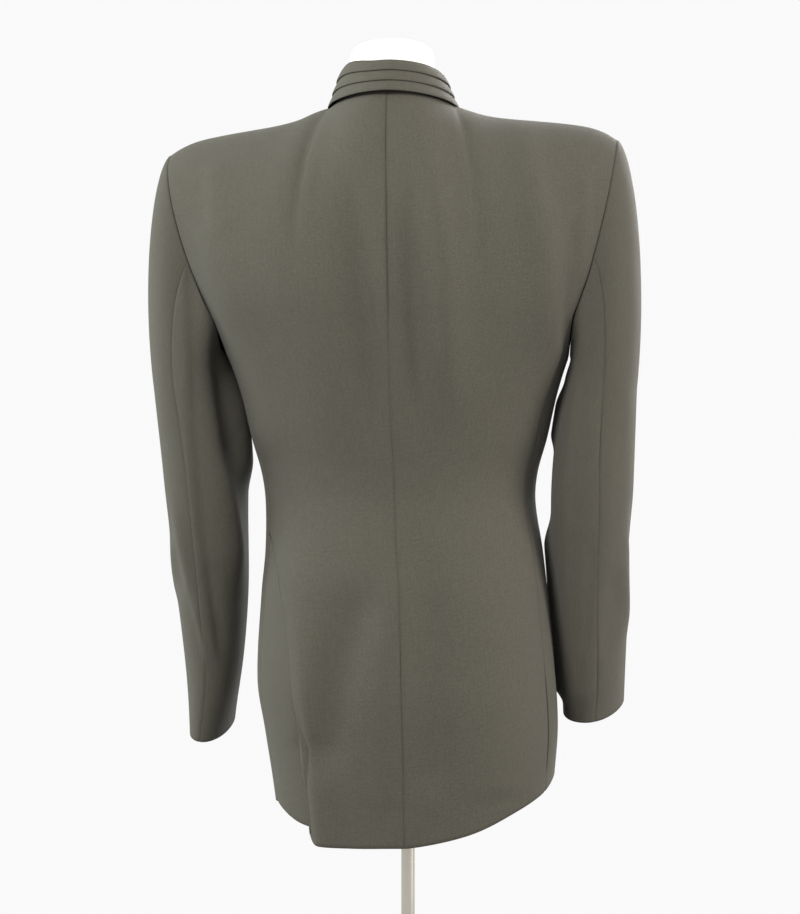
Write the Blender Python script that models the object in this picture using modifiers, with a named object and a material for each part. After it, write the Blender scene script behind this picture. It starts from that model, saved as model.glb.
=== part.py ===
"""A long fitted blazer, worn by a limbless dress form on a pole and a round base.

Metres, +Z up. The wearer faces -Y and the wearer's left is +X. The origin lies on the floor
under the middle of the pole. Every piece of cloth is a thin closed wall, lofted through
sections that are worked out from the sizes below. Side is +1 on the wearer's left and -1 on
the right.
"""

import math
from collections import namedtuple

import bmesh
import bpy
from mathutils import Vector

LEFT = 1
RIGHT = -1
SIDE_NAMES = {LEFT: "left", RIGHT: "right"}
UP = Vector((0, 0, 1))

# Cloth
CLOTH = 0.0020
BAND_CLOTH = 0.0013
STAND_CLOTH = 0.0015
SEAM_GAP = 0.0003
ARMHOLE_GAP = 0.0006

# Body: level sections from the hem to the foot of the armhole. The half widths are measured
# from the centre line, whose place leans a little to the wearer's left higher up.
Level = namedtuple("Level", "z centre left right back front square")
LEVELS = (
    Level(0.656, -0.0065, 0.1375, 0.1405, 0.116, 0.110, 2.60),
    Level(0.716, -0.0050, 0.1443, 0.1469, 0.119, 0.113, 2.60),
    Level(0.765, -0.0040, 0.1515, 0.1515, 0.122, 0.116, 2.50),
    Level(0.816, -0.0028, 0.1585, 0.1505, 0.124, 0.118, 2.40),
    Level(0.907, -0.0003, 0.1521, 0.1445, 0.117, 0.110, 2.30),
    Level(0.950, 0.0025, 0.1456, 0.1425, 0.108, 0.103, 2.25),
    Level(1.000, 0.0050, 0.1432, 0.1375, 0.099, 0.098, 2.20),
    Level(1.030, 0.0060, 0.1463, 0.1407, 0.099, 0.101, 2.20),
    Level(1.065, 0.0072, 0.1550, 0.1515, 0.103, 0.108, 2.30),
    Level(1.114, 0.0084, 0.1655, 0.1640, 0.111, 0.121, 2.40),
    Level(1.155, 0.0092, 0.1800, 0.1780, 0.117, 0.128, 2.45),
    Level(1.190, 0.0100, 0.1980, 0.1935, 0.120, 0.129, 2.50),
)
ARMHOLE_FOOT = LEVELS[-1].z
UNDERARM = 1.150
UNDERARM_ROUNDNESS = 0.75
HIP_LEVEL = 0.800
BACK_SEAM_ANGLE = math.radians(69)
FRONT_SEAM_ANGLE = math.radians(112)

# Hem height at even steps from the centre back (0) past the side (1) to the centre front (2).
Hem = namedtuple("Hem", "way left right")
HEM = (
    Hem(0.00, 0.6570, 0.6570),
    Hem(0.25, 0.6560, 0.6715),
    Hem(0.50, 0.6610, 0.6910),
    Hem(0.75, 0.6760, 0.7060),
    Hem(1.00, 0.6890, 0.7190),
    Hem(1.50, 0.6960, 0.7130),
    Hem(2.00, 0.6980, 0.6980),
    Hem(2.20, 0.6980, 0.6980),
)

# The pressed fold that runs down the left back to the hem
FOLD_TOP = 0.960
FOLD_COLUMN = 0.625
FOLD_AT_TOP = 0.93
FOLD_AT_HEM = 0.55
FOLD_EASE = 5
FOLD_LIFT = 0.0065
FOLD_HEM_STEP = 0.016
FOLD_RISE = 0.5
FOLD_FALL = 1.35

# Shoulders: heights along the seam from the side of the neck (0) to the top of the armhole (1)
Shoulder = namedtuple("Shoulder", "across left right")
SHOULDER = (
    Shoulder(0.00, 1.4120, 1.4125),
    Shoulder(0.10, 1.4065, 1.4060),
    Shoulder(0.22, 1.3980, 1.4000),
    Shoulder(0.36, 1.3920, 1.3965),
    Shoulder(0.52, 1.3875, 1.3940),
    Shoulder(0.68, 1.3830, 1.3915),
    Shoulder(0.83, 1.3775, 1.3875),
    Shoulder(0.93, 1.3705, 1.3815),
    Shoulder(1.00, 1.3630, 1.3740),
)
SHOULDER_CENTRE = 0.0150
TIP_REACH = {LEFT: 0.2350, RIGHT: 0.2315}
TIP_DEPTH = -0.004
NAPE_HEIGHT = 1.420
NAPE_DEPTH = 0.072
NECK_HALF_WIDTH = 0.0595
NECK_SHARE = 0.30

# How the cloth comes over the shoulder from behind or from the front: level reach and drop of
# the controls next to the seam, from the inner edge (0) to the armhole (1).
Over = namedtuple("Over", "way reach drop")
OVER_BACK = (
    Over(0.00, 0.026, 0.040),
    Over(0.18, 0.058, 0.030),
    Over(0.30, 0.100, 0.018),
    Over(0.40, 0.104, 0.014),
    Over(0.60, 0.094, 0.013),
    Over(1.00, 0.062, 0.018),
)
OVER_FRONT = (
    Over(0.00, 0.066, 0.030),
    Over(0.50, 0.076, 0.018),
    Over(1.00, 0.062, 0.020),
)
YOKE_RISE = 0.072
NECK_TURN = math.radians(12)
NECK_TURN_END = 0.55

# Fronts: right over left, with a plain V above the break
OVERLAP = 0.020
OVERLAP_LIFT = 0.0026
LIFT_FADE_START = 0.20
LIFT_FADE_END = 0.50
LIFT_TOP = 0.5
LIFT_TOP_FADE = 0.4

# Sleeves: sections from the upper arm to the cuff. The turn is the angle of the long way of
# the section, seen from above, outwards at the front.
Section = namedtuple("Section", "place x y z half_width half_depth turn")
SLEEVES = {
    LEFT: (
        Section(0, 0.2230, -0.004, 1.120, 0.0425, 0.0600, -4),
        Section(1, 0.2150, -0.007, 1.055, 0.0440, 0.0590, -4),
        Section(2, 0.2120, -0.015, 0.980, 0.0410, 0.0560, -2),
        Section(3, 0.2095, -0.029, 0.905, 0.0370, 0.0535, 0),
        Section(4, 0.2110, -0.048, 0.832, 0.0305, 0.0515, 2),
        Section(5, 0.2165, -0.070, 0.759, 0.0215, 0.0500, 0),
    ),
    RIGHT: (
        Section(0, -0.2000, -0.002, 1.120, 0.0372, 0.0590, 4),
        Section(1, -0.1935, -0.004, 1.055, 0.0412, 0.0575, 6),
        Section(2, -0.1905, -0.011, 0.990, 0.0414, 0.0555, 10),
        Section(3, -0.1910, -0.024, 0.920, 0.0370, 0.0530, 16),
        Section(4, -0.1920, -0.041, 0.850, 0.0320, 0.0500, 18),
        Section(5, -0.1920, -0.062, 0.784, 0.0285, 0.0490, 20),
    ),
}
SLEEVE_SQUARE = 2.15
ARMHOLE_CENTRE = Vector((0, 0, 1.268))
ARMHOLE_LEAN = 2
CAP_START = Vector((0.80, 0, -0.50))
UNDER_START = Vector((0.45, 0, -0.90))
CAP_FULLNESS = 0.006
CAP_START_SHARE = 0.055
CAP_END_SHARE = 0.50
BACK_QUARTER = math.radians(108)

# Mesh steps
BACK_STEPS = 8
FRONT_STEPS = 8
SIDE_STEPS = 8
HEM_ROWS = 3
TORSO_ROWS = 8
YOKE_ROWS = 8
CAP_ROWS = 6
SLEEVE_ROWS = 12
ELBOW_SEAM_STEP = 6
FRONT_SEAM_STEP = 8

# Collar: a stand and a fall of three bands. Way 0 is the nape, COLLAR_SIDE is the side of the
# neck and 1 is the break of the V.
Roll = namedtuple("Roll", "way stand lean reach rise")
ROLL = (
    Roll(0.00, 0.0285, 0.0040, 0.0105, -0.0045),
    Roll(0.20, 0.0285, 0.0045, 0.0100, -0.0030),
    Roll(0.35, 0.0270, 0.0060, 0.0085, 0.0010),
    Roll(0.45, 0.0210, 0.0050, 0.0130, 0.0025),
    Roll(0.60, 0.0090, 0.0020, 0.0230, 0.0034),
    Roll(0.80, 0.0042, 0.0000, 0.0230, 0.0034),
    Roll(1.00, 0.0034, 0.0000, 0.0180, 0.0034),
)
COLLAR_SIDE = 0.35
FULLER_RISE = {LEFT: 0.0062, RIGHT: 0.0008}
FULLER_START = 0.04
FULLER_END = 0.30
FULLER_FADE = 0.17
COLLAR_TURN = 0.15
COLLAR_ENDS = {LEFT: 0.74, RIGHT: 0.97}
STAND_END = 0.52
STAND_CLEAR = 0.0003
STAND_FOOT = 0.0003
STAND_FOOT_FRONT = 0.0014
BAND_COUNT = 3
BAND_TUCK = 0.06
BAND_PROUD = 0.0016
BAND_RISE = BAND_COUNT * (BAND_CLOTH + SEAM_GAP)
COLLAR_STEP = 0.035
BAND_NAMES = ("collar_band_upper", "collar_band_middle", "collar_band_lower")

# Buttons
BUTTON_RADIUS = 0.0110
BUTTON_THICKNESS = 0.0040
BUTTON_RIM = 0.0030
BUTTON_CROWN = 0.0018
BUTTON_DISH = 0.0012
BUTTON_EDGE = 0.0008
BUTTON_STEPS = 24
BUTTON_HEIGHTS = (1.150, 1.050, 0.950)

# Dress form: level sections from its flat foot to the top of the neck
Ring = namedtuple("Ring", "z x y half_width back front square")
FORM = (
    Ring(0.7600, 0.0000, 0.000, 0.1200, 0.0920, 0.0880, 2.2),
    Ring(0.7640, 0.0000, 0.000, 0.1280, 0.0990, 0.0940, 2.2),
    Ring(0.8000, -0.0010, 0.000, 0.1370, 0.1080, 0.1020, 2.2),
    Ring(0.8500, -0.0010, 0.000, 0.1400, 0.1120, 0.1040, 2.2),
    Ring(0.9100, 0.0005, 0.000, 0.1340, 0.1040, 0.0980, 2.2),
    Ring(0.9600, 0.0030, 0.000, 0.1260, 0.0930, 0.0900, 2.1),
    Ring(1.0000, 0.0050, 0.000, 0.1220, 0.0860, 0.0860, 2.1),
    Ring(1.0500, 0.0070, 0.000, 0.1300, 0.0900, 0.0940, 2.1),
    Ring(1.1000, 0.0082, 0.000, 0.1420, 0.0990, 0.1080, 2.2),
    Ring(1.1600, 0.0095, 0.000, 0.1520, 0.1080, 0.1170, 2.2),
    Ring(1.2200, 0.0110, 0.002, 0.1600, 0.1070, 0.1120, 2.2),
    Ring(1.2700, 0.0122, 0.004, 0.1660, 0.0990, 0.0960, 2.2),
    Ring(1.3100, 0.0130, 0.007, 0.1650, 0.0840, 0.0780, 2.1),
    Ring(1.3400, 0.0133, 0.010, 0.1530, 0.0620, 0.0600, 2.0),
    Ring(1.3600, 0.0135, 0.012, 0.1350, 0.0490, 0.0500, 2.0),
    Ring(1.3800, 0.0153, 0.014, 0.1086, 0.0410, 0.0450, 2.0),
    Ring(1.3950, 0.0145, 0.016, 0.0720, 0.0410, 0.0430, 2.0),
    Ring(1.4100, 0.0150, 0.017, 0.0510, 0.0420, 0.0420, 2.0),
    Ring(1.4400, 0.0150, 0.016, 0.0440, 0.0415, 0.0415, 2.0),
    Ring(1.4600, 0.0150, 0.016, 0.0430, 0.0410, 0.0410, 2.0),
    Ring(1.4700, 0.0150, 0.016, 0.0370, 0.0350, 0.0350, 2.0),
    Ring(1.4750, 0.0150, 0.016, 0.0240, 0.0220, 0.0220, 2.0),
)
FORM_STEPS = 32

# Colours and roughness
WOOL = (0.138, 0.133, 0.107)
WOOL_ROUGHNESS = 0.85
HORN = (0.060, 0.056, 0.045)
HORN_ROUGHNESS = 0.35
JERSEY = (0.82, 0.81, 0.79)
JERSEY_ROUGHNESS = 0.70
POLE_STEEL = (0.62, 0.60, 0.57)
POLE_ROUGHNESS = 0.25
BASE_STEEL = (0.55, 0.54, 0.52)
BASE_ROUGHNESS = 0.35

# Stand
POLE_RADIUS = 0.0070
POLE_STEPS = 24
BASE_RADIUS = 0.160
BASE_THICKNESS = 0.008
BASE_EDGE = 0.002
BASE_STEPS = 48


def blend(start, end, share):
    return start + (end - start) * share


def smooth(share):
    """An even S-curve from 0 to 1, flat at both ends."""
    share = min(max(share, 0.0), 1.0)
    return share * share * (3 - 2 * share)


def slope_at(places, values, index):
    """The slope of the smooth curve through a column of a table at one of its rows."""
    before = max(index - 1, 0)
    after = min(index + 1, len(places) - 1)
    return (values[after] - values[before]) / (places[after] - places[before])


def between(table, place):
    """The row at this place in the first column, on a smooth curve through the table's rows."""
    places = [row[0] for row in table]
    place = min(max(place, places[0]), places[-1])
    index = max(i for i in range(len(places) - 1) if places[i] <= place)
    span = places[index + 1] - places[index]
    share = (place - places[index]) / span
    values = []
    for column in zip(*table):
        rise = column[index + 1] - column[index]
        start = slope_at(places, column, index) * span
        end = slope_at(places, column, index + 1) * span
        bend = share * (1 - share)
        values.append(
            column[index]
            + rise * smooth(share)
            + bend * (start * (1 - share) - end * share)
        )
    return type(table[0])(*values)


def arc(value, square):
    """A signed power that turns a sine or cosine into the side of a squarer ring."""
    return math.copysign(abs(value) ** (2 / square), value)


def curve(start, first, second, end, share):
    """A point on the cubic curve with these ends and controls."""
    rest = 1 - share
    return (
        start * rest**3
        + first * (3 * rest * rest * share)
        + second * (3 * rest * share * share)
        + end * share**3
    )


# ---------------------------------------------------------------- the body of the jacket


def ring_point(side, angle, z):
    """A point of the body's level section; the angle runs from the centre back to the front."""
    level = between(LEVELS, z)
    half_width = level.left if side == LEFT else level.right
    depth = level.back if math.cos(angle) > 0 else level.front
    return Vector(
        (
            level.centre + side * half_width * arc(math.sin(angle), level.square),
            depth * arc(math.cos(angle), level.square),
            z,
        )
    )


def normal_of(surface, across, along, side):
    """The outward direction of a surface, from its two slopes at this place."""
    step = 1e-4
    slope_across = surface(across + step, along) - surface(across - step, along)
    slope_along = surface(across, along + step) - surface(across, along - step)
    return (slope_across.cross(slope_along) * -side).normalized()


def hem_height(side, angle):
    row = between(HEM, angle / (math.pi / 2))
    return row.left if side == LEFT else row.right


def torso_height(side, angle, row):
    """The height of a row of the body below the armhole's foot: bent at the hem, then level."""
    if row <= HEM_ROWS:
        return blend(hem_height(side, angle), HIP_LEVEL, row / HEM_ROWS)
    return blend(HIP_LEVEL, ARMHOLE_FOOT, (row - HEM_ROWS) / TORSO_ROWS)


def fold_place(z):
    """Where the left back's pressed fold lies, as a share of the way to the side seam."""
    share = (FOLD_TOP - z) / (FOLD_TOP - LEVELS[0].z)
    return blend(FOLD_AT_TOP, FOLD_AT_HEM, 1 - (1 - share) ** FOLD_EASE)


def back_share(side, column, z):
    """The share of the way across the back for a column; the left back's follow its fold."""
    if side == RIGHT:
        return column
    strength = smooth((FOLD_TOP - z) / (FOLD_TOP - HIP_LEVEL))
    if column <= FOLD_COLUMN:
        folded = column / FOLD_COLUMN * fold_place(z)
    else:
        folded = blend(fold_place(z), 1, (column - FOLD_COLUMN) / (1 - FOLD_COLUMN))
    return blend(column, folded, strength)


def fold_lift(side, column, z):
    """How far the left back's fold stands out: a slow rise towards it, then a sharp fall."""
    if side == RIGHT or z > FOLD_TOP:
        return 0.0
    strength = smooth((FOLD_TOP - z) / (FOLD_TOP - LEVELS[0].z))
    if column <= FOLD_COLUMN:
        shape = smooth(1 - (FOLD_COLUMN - column) / (FOLD_RISE * FOLD_COLUMN))
    else:
        shape = 1 - FOLD_FALL * math.sqrt(smooth((column - FOLD_COLUMN) / (1 - FOLD_COLUMN)))
        shape = max(shape, 0.0)
    return FOLD_LIFT * strength * shape


def shoulder_seam(side, across):
    """A point of the seam from the side of the neck to the top of the armhole."""
    row = between(SHOULDER, across)
    reach = blend(NECK_HALF_WIDTH, TIP_REACH[side], across)
    height = row.left if side == LEFT else row.right
    return Vector((SHOULDER_CENTRE + side * reach, TIP_DEPTH * across, height))


def back_top(side, share):
    """The top edge of the back: half of the neckline, then the shoulder seam."""
    if share > NECK_SHARE:
        return shoulder_seam(side, (share - NECK_SHARE) / (1 - NECK_SHARE))
    angle = share / NECK_SHARE * math.pi / 2
    neck_side = shoulder_seam(side, 0)
    return Vector(
        (
            blend(SHOULDER_CENTRE, neck_side.x, math.sin(angle)),
            NAPE_DEPTH * math.cos(angle),
            blend(neck_side.z, NAPE_HEIGHT, math.cos(angle) ** 2),
        )
    )


def yoke(foot, foot_below, top, away, rise_share):
    """A point of the cloth that runs up from the armhole's foot and over to the shoulder."""
    step = 1e-3
    rise = (foot - foot_below) / step * YOKE_RISE
    return curve(foot, foot + rise, top + away, top, rise_share)


def neck_turn(share):
    """The angle at which the back comes to its top edge, turned to meet the neckline squarely."""
    if share < NECK_SHARE:
        return NECK_TURN * share / NECK_SHARE
    return NECK_TURN * (1 - smooth((share - NECK_SHARE) / (NECK_TURN_END - NECK_SHARE)))


def back_yoke(side, share, rise_share):
    angle = share * BACK_SEAM_ANGLE
    foot = ring_point(side, angle, ARMHOLE_FOOT)
    below = ring_point(side, angle, ARMHOLE_FOOT - 1e-3)
    over = between(OVER_BACK, share)
    turn = neck_turn(share)
    away = Vector(
        (side * over.reach * math.sin(turn), over.reach * math.cos(turn), -over.drop)
    )
    return yoke(foot, below, back_top(side, share), away, rise_share)


def front_edge_angle(side, z):
    """The angle of the front's free edge, just past the centre front."""
    level = between(LEVELS, z)
    half_width = level.right if side == LEFT else level.left
    return math.pi + math.asin((OVERLAP / half_width) ** (level.square / 2))


def plain_front_yoke(side, share, rise_share):
    angle = blend(front_edge_angle(side, ARMHOLE_FOOT), FRONT_SEAM_ANGLE, share)
    foot = front_ring(side, angle, ARMHOLE_FOOT)
    below = front_ring(side, angle, ARMHOLE_FOOT - 1e-3)
    over = between(OVER_FRONT, share)
    away = Vector((0, -over.reach, -over.drop))
    return yoke(foot, below, shoulder_seam(side, share), away, rise_share)


def front_ring(side, angle, z):
    """A ring point that goes on past the centre front with the other side's width."""
    if angle <= math.pi:
        return ring_point(side, angle, z)
    return ring_point(-side, 2 * math.pi - angle, z)


def overlap_lift(side, share, rise_share):
    """How far the right front lies out over the left one, fading away from its free edge."""
    if side == LEFT:
        return 0.0
    across = 1 - smooth((share - LIFT_FADE_START) / (LIFT_FADE_END - LIFT_FADE_START))
    along = 1 - smooth((rise_share - LIFT_TOP) / LIFT_TOP_FADE)
    return OVERLAP_LIFT * across * along


def front_yoke(side, share, rise_share):
    """A point and the outward direction of the front above the armhole's foot."""

    def surface(across, along):
        return plain_front_yoke(side, across, along)

    normal = normal_of(surface, share, rise_share, -side)
    lift = overlap_lift(side, share, rise_share)
    return surface(share, rise_share) + normal * lift, normal


def to_armhole_centre(point):
    """The direction from a point of the armhole's edge to its middle, seen from the side."""
    inward = ARMHOLE_CENTRE - point
    return Vector((0, inward.y, inward.z)).normalized()


def armhole_rim(point, normal):
    """The outward direction at the armhole, leaned so that both walls end beside each other."""
    return (normal - ARMHOLE_LEAN * to_armhole_centre(point)).normalized()


def shoulder_rim(side, across):
    """The outward direction shared by the front and the back along the shoulder seam."""
    step = 1e-3
    run = shoulder_seam(side, min(across + step, 1)) - shoulder_seam(side, max(across - step, 0))
    return Vector((-run.z, 0, run.x)).normalized() * side


def back_rows(side):
    """The rows of points and outward directions of one back panel, from the hem up."""
    columns = [step / BACK_STEPS for step in range(BACK_STEPS + 1)]
    rows = []
    for row in range(HEM_ROWS + TORSO_ROWS):
        points = []
        for column in columns:
            z = torso_height(side, column * BACK_SEAM_ANGLE, row)
            angle = back_share(side, column, z) * BACK_SEAM_ANGLE
            z = torso_height(side, angle, row)
            if side == LEFT and row < HEM_ROWS and column > FOLD_COLUMN:
                z += FOLD_HEM_STEP * (1 - row / HEM_ROWS)
            normal = normal_of(lambda a, b: ring_point(side, a, b), angle, z, side)
            point = ring_point(side, angle, z) + normal * fold_lift(side, column, z)
            points.append((point, normal))
        rows.append(points)
    for row in range(YOKE_ROWS + 1):
        rise_share = row / YOKE_ROWS
        points = []
        for share in columns:
            point = back_yoke(side, share, rise_share)
            normal = normal_of(lambda a, b: back_yoke(side, a, b), share, rise_share, side)
            if row == YOKE_ROWS and share > NECK_SHARE:
                across = (share - NECK_SHARE) / (1 - NECK_SHARE)
                normal = shoulder_rim(side, across)
            if share == 1:
                normal = armhole_rim(point, normal)
            points.append((point, normal))
        rows.append(points)
    return rows


def front_rows(side):
    """The rows of points and outward directions of one front, from the hem up."""
    columns = [step / FRONT_STEPS for step in range(FRONT_STEPS + 1)]
    rows = []
    for row in range(HEM_ROWS + TORSO_ROWS):
        points = []
        for share in columns:
            angle = blend(front_edge_angle(side, HIP_LEVEL), FRONT_SEAM_ANGLE, share)
            z = torso_height(side, angle, row)
            angle = blend(front_edge_angle(side, z), FRONT_SEAM_ANGLE, share)
            normal = normal_of(lambda a, b: front_ring(side, a, b), angle, z, side)
            lift = overlap_lift(side, share, 0)
            points.append((front_ring(side, angle, z) + normal * lift, normal))
        rows.append(points)
    for row in range(YOKE_ROWS + 1):
        rise_share = row / YOKE_ROWS
        points = []
        for share in columns:
            point, normal = front_yoke(side, share, rise_share)
            if row == YOKE_ROWS:
                normal = shoulder_rim(side, share)
            if share == 1:
                normal = armhole_rim(point, normal)
            points.append((point, normal))
        rows.append(points)
    return [list(reversed(points)) for points in rows]


def side_top(share):
    """The height of the armhole's lower edge between the back seam and the front seam."""
    return ARMHOLE_FOOT - (ARMHOLE_FOOT - UNDERARM) * math.sin(math.pi * share) ** (
        UNDERARM_ROUNDNESS
    )


def side_rows(side):
    """The rows of points and outward directions of one side panel, from the hem up."""
    rows = []
    for row in range(HEM_ROWS + TORSO_ROWS + 1):
        points = []
        for step in range(SIDE_STEPS + 1):
            share = step / SIDE_STEPS
            angle = blend(BACK_SEAM_ANGLE, FRONT_SEAM_ANGLE, share)
            z = torso_height(side, angle, row)
            if row > HEM_ROWS:
                stretch = (side_top(share) - HIP_LEVEL) / (ARMHOLE_FOOT - HIP_LEVEL)
                z = HIP_LEVEL + (z - HIP_LEVEL) * stretch
            if side == LEFT and step == 0 and row < HEM_ROWS:
                z += FOLD_HEM_STEP * (1 - row / HEM_ROWS)
            normal = normal_of(lambda a, b: ring_point(side, a, b), angle, z, side)
            point = ring_point(side, angle, z)
            if row == HEM_ROWS + TORSO_ROWS:
                normal = armhole_rim(point, normal)
            points.append((point, normal))
        rows.append(points)
    return rows


# ---------------------------------------------------------------- the sleeves


def armhole_loop(side):
    """The armhole's points in order: top, down the back, under the arm and up the front."""
    loop = [back_yoke(side, 1, 1 - step / YOKE_ROWS) for step in range(YOKE_ROWS)]
    for step in range(SIDE_STEPS):
        share = step / SIDE_STEPS
        angle = blend(BACK_SEAM_ANGLE, FRONT_SEAM_ANGLE, share)
        loop.append(ring_point(side, angle, side_top(share)))
    for step in range(YOKE_ROWS):
        loop.append(front_yoke(side, 1, step / YOKE_ROWS)[0])
    return loop


def loop_angles():
    """The angle round the sleeve of each armhole point, from the outside round by the back."""
    angles = [BACK_QUARTER * step / YOKE_ROWS for step in range(YOKE_ROWS)]
    front_quarter = 2 * math.pi - BACK_QUARTER
    for step in range(SIDE_STEPS):
        angles.append(blend(BACK_QUARTER, front_quarter, step / SIDE_STEPS))
    for step in range(YOKE_ROWS):
        angles.append(blend(front_quarter, 2 * math.pi, step / YOKE_ROWS))
    return angles


def sleeve_axis(side, place):
    step = 1e-3
    low = between(SLEEVES[side], min(place + step, len(SLEEVES[side]) - 1))
    high = between(SLEEVES[side], max(place - step, 0))
    return Vector((low.x - high.x, low.y - high.y, low.z - high.z)).normalized()


def sleeve_point(side, place, angle):
    """A point of the sleeve's section, square to its bent middle line."""
    section = between(SLEEVES[side], place)
    axis = sleeve_axis(side, place)
    turn = math.radians(section.turn)
    outward = Vector((side * math.cos(turn), math.sin(turn), 0))
    outward = (outward - axis * outward.dot(axis)).normalized()
    backward = axis.cross(outward) * -side
    return (
        Vector((section.x, section.y, section.z))
        + outward * (section.half_width * arc(math.cos(angle), SLEEVE_SQUARE))
        + backward * (section.half_depth * arc(math.sin(angle), SLEEVE_SQUARE))
    )


def sleeve_grid(side):
    """All rows of the sleeve's outer points, from the armhole to the cuff, each a closed ring."""
    loop = armhole_loop(side)
    angles = loop_angles()
    rows = []
    for row in range(CAP_ROWS):
        share = row / CAP_ROWS
        points = []
        for start, angle in zip(loop, angles):
            start = start + Vector((side * ARMHOLE_GAP, 0, 0))
            end = sleeve_point(side, 0, angle)
            distance = (end - start).length
            under = (1 - math.cos(angle)) / 2
            away = CAP_START.lerp(UNDER_START, under)
            away.x *= side
            first = start + away * (CAP_FULLNESS + CAP_START_SHARE * distance)
            second = end - sleeve_axis(side, 0) * (CAP_END_SHARE * distance)
            points.append(curve(start, first, second, end, share))
        rows.append(points)
    last = len(SLEEVES[side]) - 1
    for row in range(SLEEVE_ROWS + 1):
        place = last * row / SLEEVE_ROWS
        rows.append([sleeve_point(side, place, angle) for angle in angles])
    return rows


def ring_normals(rows, side):
    """The outward direction at each point of a tube's grid of closed rings."""
    count = len(rows[0])
    normals = []
    for index, ring in enumerate(rows):
        above = rows[max(index - 1, 0)]
        below = rows[min(index + 1, len(rows) - 1)]
        normals.append(
            [
                (
                    (ring[(j + 1) % count] - ring[j - 1]).cross(above[j] - below[j]) * side
                ).normalized()
                for j in range(count)
            ]
        )
    return normals


def sleeve_panels(side):
    """The two halves of a sleeve as rows of points and outward directions."""
    grid = sleeve_grid(side)
    normals = ring_normals(grid, side)
    normals[0] = [armhole_rim(p, n) for p, n in zip(grid[0], normals[0])]
    count = len(grid[0])
    front_seam = count - FRONT_SEAM_STEP
    top_columns = [j % count for j in range(front_seam, count + ELBOW_SEAM_STEP + 1)]
    under_columns = list(range(ELBOW_SEAM_STEP, front_seam + 1))
    panels = []
    for columns in (top_columns, under_columns):
        panels.append(
            [
                [(ring[j], directions[j]) for j in columns]
                for ring, directions in zip(grid, normals)
            ]
        )
    return panels


# ---------------------------------------------------------------- the collar


def neckline(side, way):
    """The seam where the collar joins: the back neck, then the edge of the V."""
    if way <= COLLAR_SIDE:
        share = way / COLLAR_SIDE
        point = back_top(side, share * NECK_SHARE)
        angle = share * math.pi / 2
        out = Vector((side * math.sin(angle), math.cos(angle), 0))
        return point, out, UP
    rise_share = 1 - (way - COLLAR_SIDE) / (1 - COLLAR_SIDE)
    point, normal = front_yoke(side, 0, rise_share)
    step = 1e-3
    out = front_yoke(side, step, rise_share)[0] - point
    turned = smooth((way - COLLAR_SIDE) / COLLAR_TURN)
    return point, out.normalized(), UP.lerp(normal, turned).normalized()


def fuller(way):
    """1 beside the neck, where the collar stands fuller, falling to 0 behind and in front of it."""
    begun = smooth((way - FULLER_START) / FULLER_FADE)
    ended = smooth((way - FULLER_END) / FULLER_FADE)
    return begun - ended


def collar_section(side, way):
    """The foot of the stand, the fold line and the outer edge of the collar at this place."""
    foot, out, up = neckline(side, way)
    roll = between(ROLL, way)
    stand = roll.stand + FULLER_RISE[side] * fuller(way)
    fold = foot + up * stand - out * roll.lean
    edge = foot + out * roll.reach + up * roll.rise
    return foot, fold, edge, out


def collar_ways(ends):
    """Even steps along the collar from its right end round the nape to its left end."""
    right_steps = round(ends[RIGHT] / COLLAR_STEP)
    left_steps = round(ends[LEFT] / COLLAR_STEP)
    right = [(RIGHT, ends[RIGHT] * s / right_steps) for s in range(right_steps, 0, -1)]
    left = [(LEFT, ends[LEFT] * s / left_steps) for s in range(left_steps + 1)]
    return right + left


def collar_frames(ends):
    """The sections along the collar, each with the outward direction of the fall."""
    ways = collar_ways(ends)
    sections = [collar_section(side, way) for side, way in ways]
    frames = []
    for index, (foot, fold, edge, out) in enumerate(sections):
        before = sections[max(index - 1, 0)]
        after = sections[min(index + 1, len(sections) - 1)]
        run = after[1] + after[2] - before[1] - before[2]
        face = run.cross(edge - fold).normalized()
        frames.append((ways[index][1], foot, fold, edge, out, face))
    return frames


def band_walls(index):
    """The outer and inner grids of one of the overlapping bands."""
    upper = index / BAND_COUNT - (BAND_TUCK if index else 0)
    lower = (index + 1) / BAND_COUNT
    outer = []
    inner = []
    for _, _, fold, edge, _, face in collar_frames(COLLAR_ENDS):
        outer_points = []
        for share in (upper, (upper + lower) / 2, lower):
            proud = BAND_PROUD - BAND_RISE * (lower - share)
            outer_points.append(fold.lerp(edge, share) + face * proud)
        outer.append(outer_points)
        inner.append([point - face * BAND_CLOTH for point in outer_points])
    return outer, inner


def stand_walls():
    """The outer and inner grids of the collar's stand, inside the bands."""
    ends = {LEFT: STAND_END, RIGHT: STAND_END}
    outer = []
    inner = []
    for way, foot, fold, _, out, face in collar_frames(ends):
        rise = (fold - foot).normalized()
        bottom = foot + rise * (STAND_FOOT if way < COLLAR_SIDE else STAND_FOOT_FRONT)
        top = fold - face * (BAND_CLOTH + STAND_CLEAR) - rise * STAND_CLEAR
        outer.append([bottom, top])
        inner.append([bottom - out * STAND_CLOTH, top - out * STAND_CLOTH])
    return outer, inner


# ---------------------------------------------------------------- making objects


def finish(name, colour, roughness, metallic):
    """A plain material of one colour."""
    material = bpy.data.materials.new(name)
    material.use_nodes = True
    shader = material.node_tree.nodes["Principled BSDF"]
    shader.inputs["Base Color"].default_value = (*colour, 1)
    shader.inputs["Roughness"].default_value = roughness
    shader.inputs["Metallic"].default_value = metallic
    return material


def place_mesh(name, mesh, material, collection):
    """Puts a mesh in the scene as a named object with its material."""
    thing = bpy.data.objects.new(name, mesh)
    mesh.materials.append(material)
    collection.objects.link(thing)
    return thing


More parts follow.
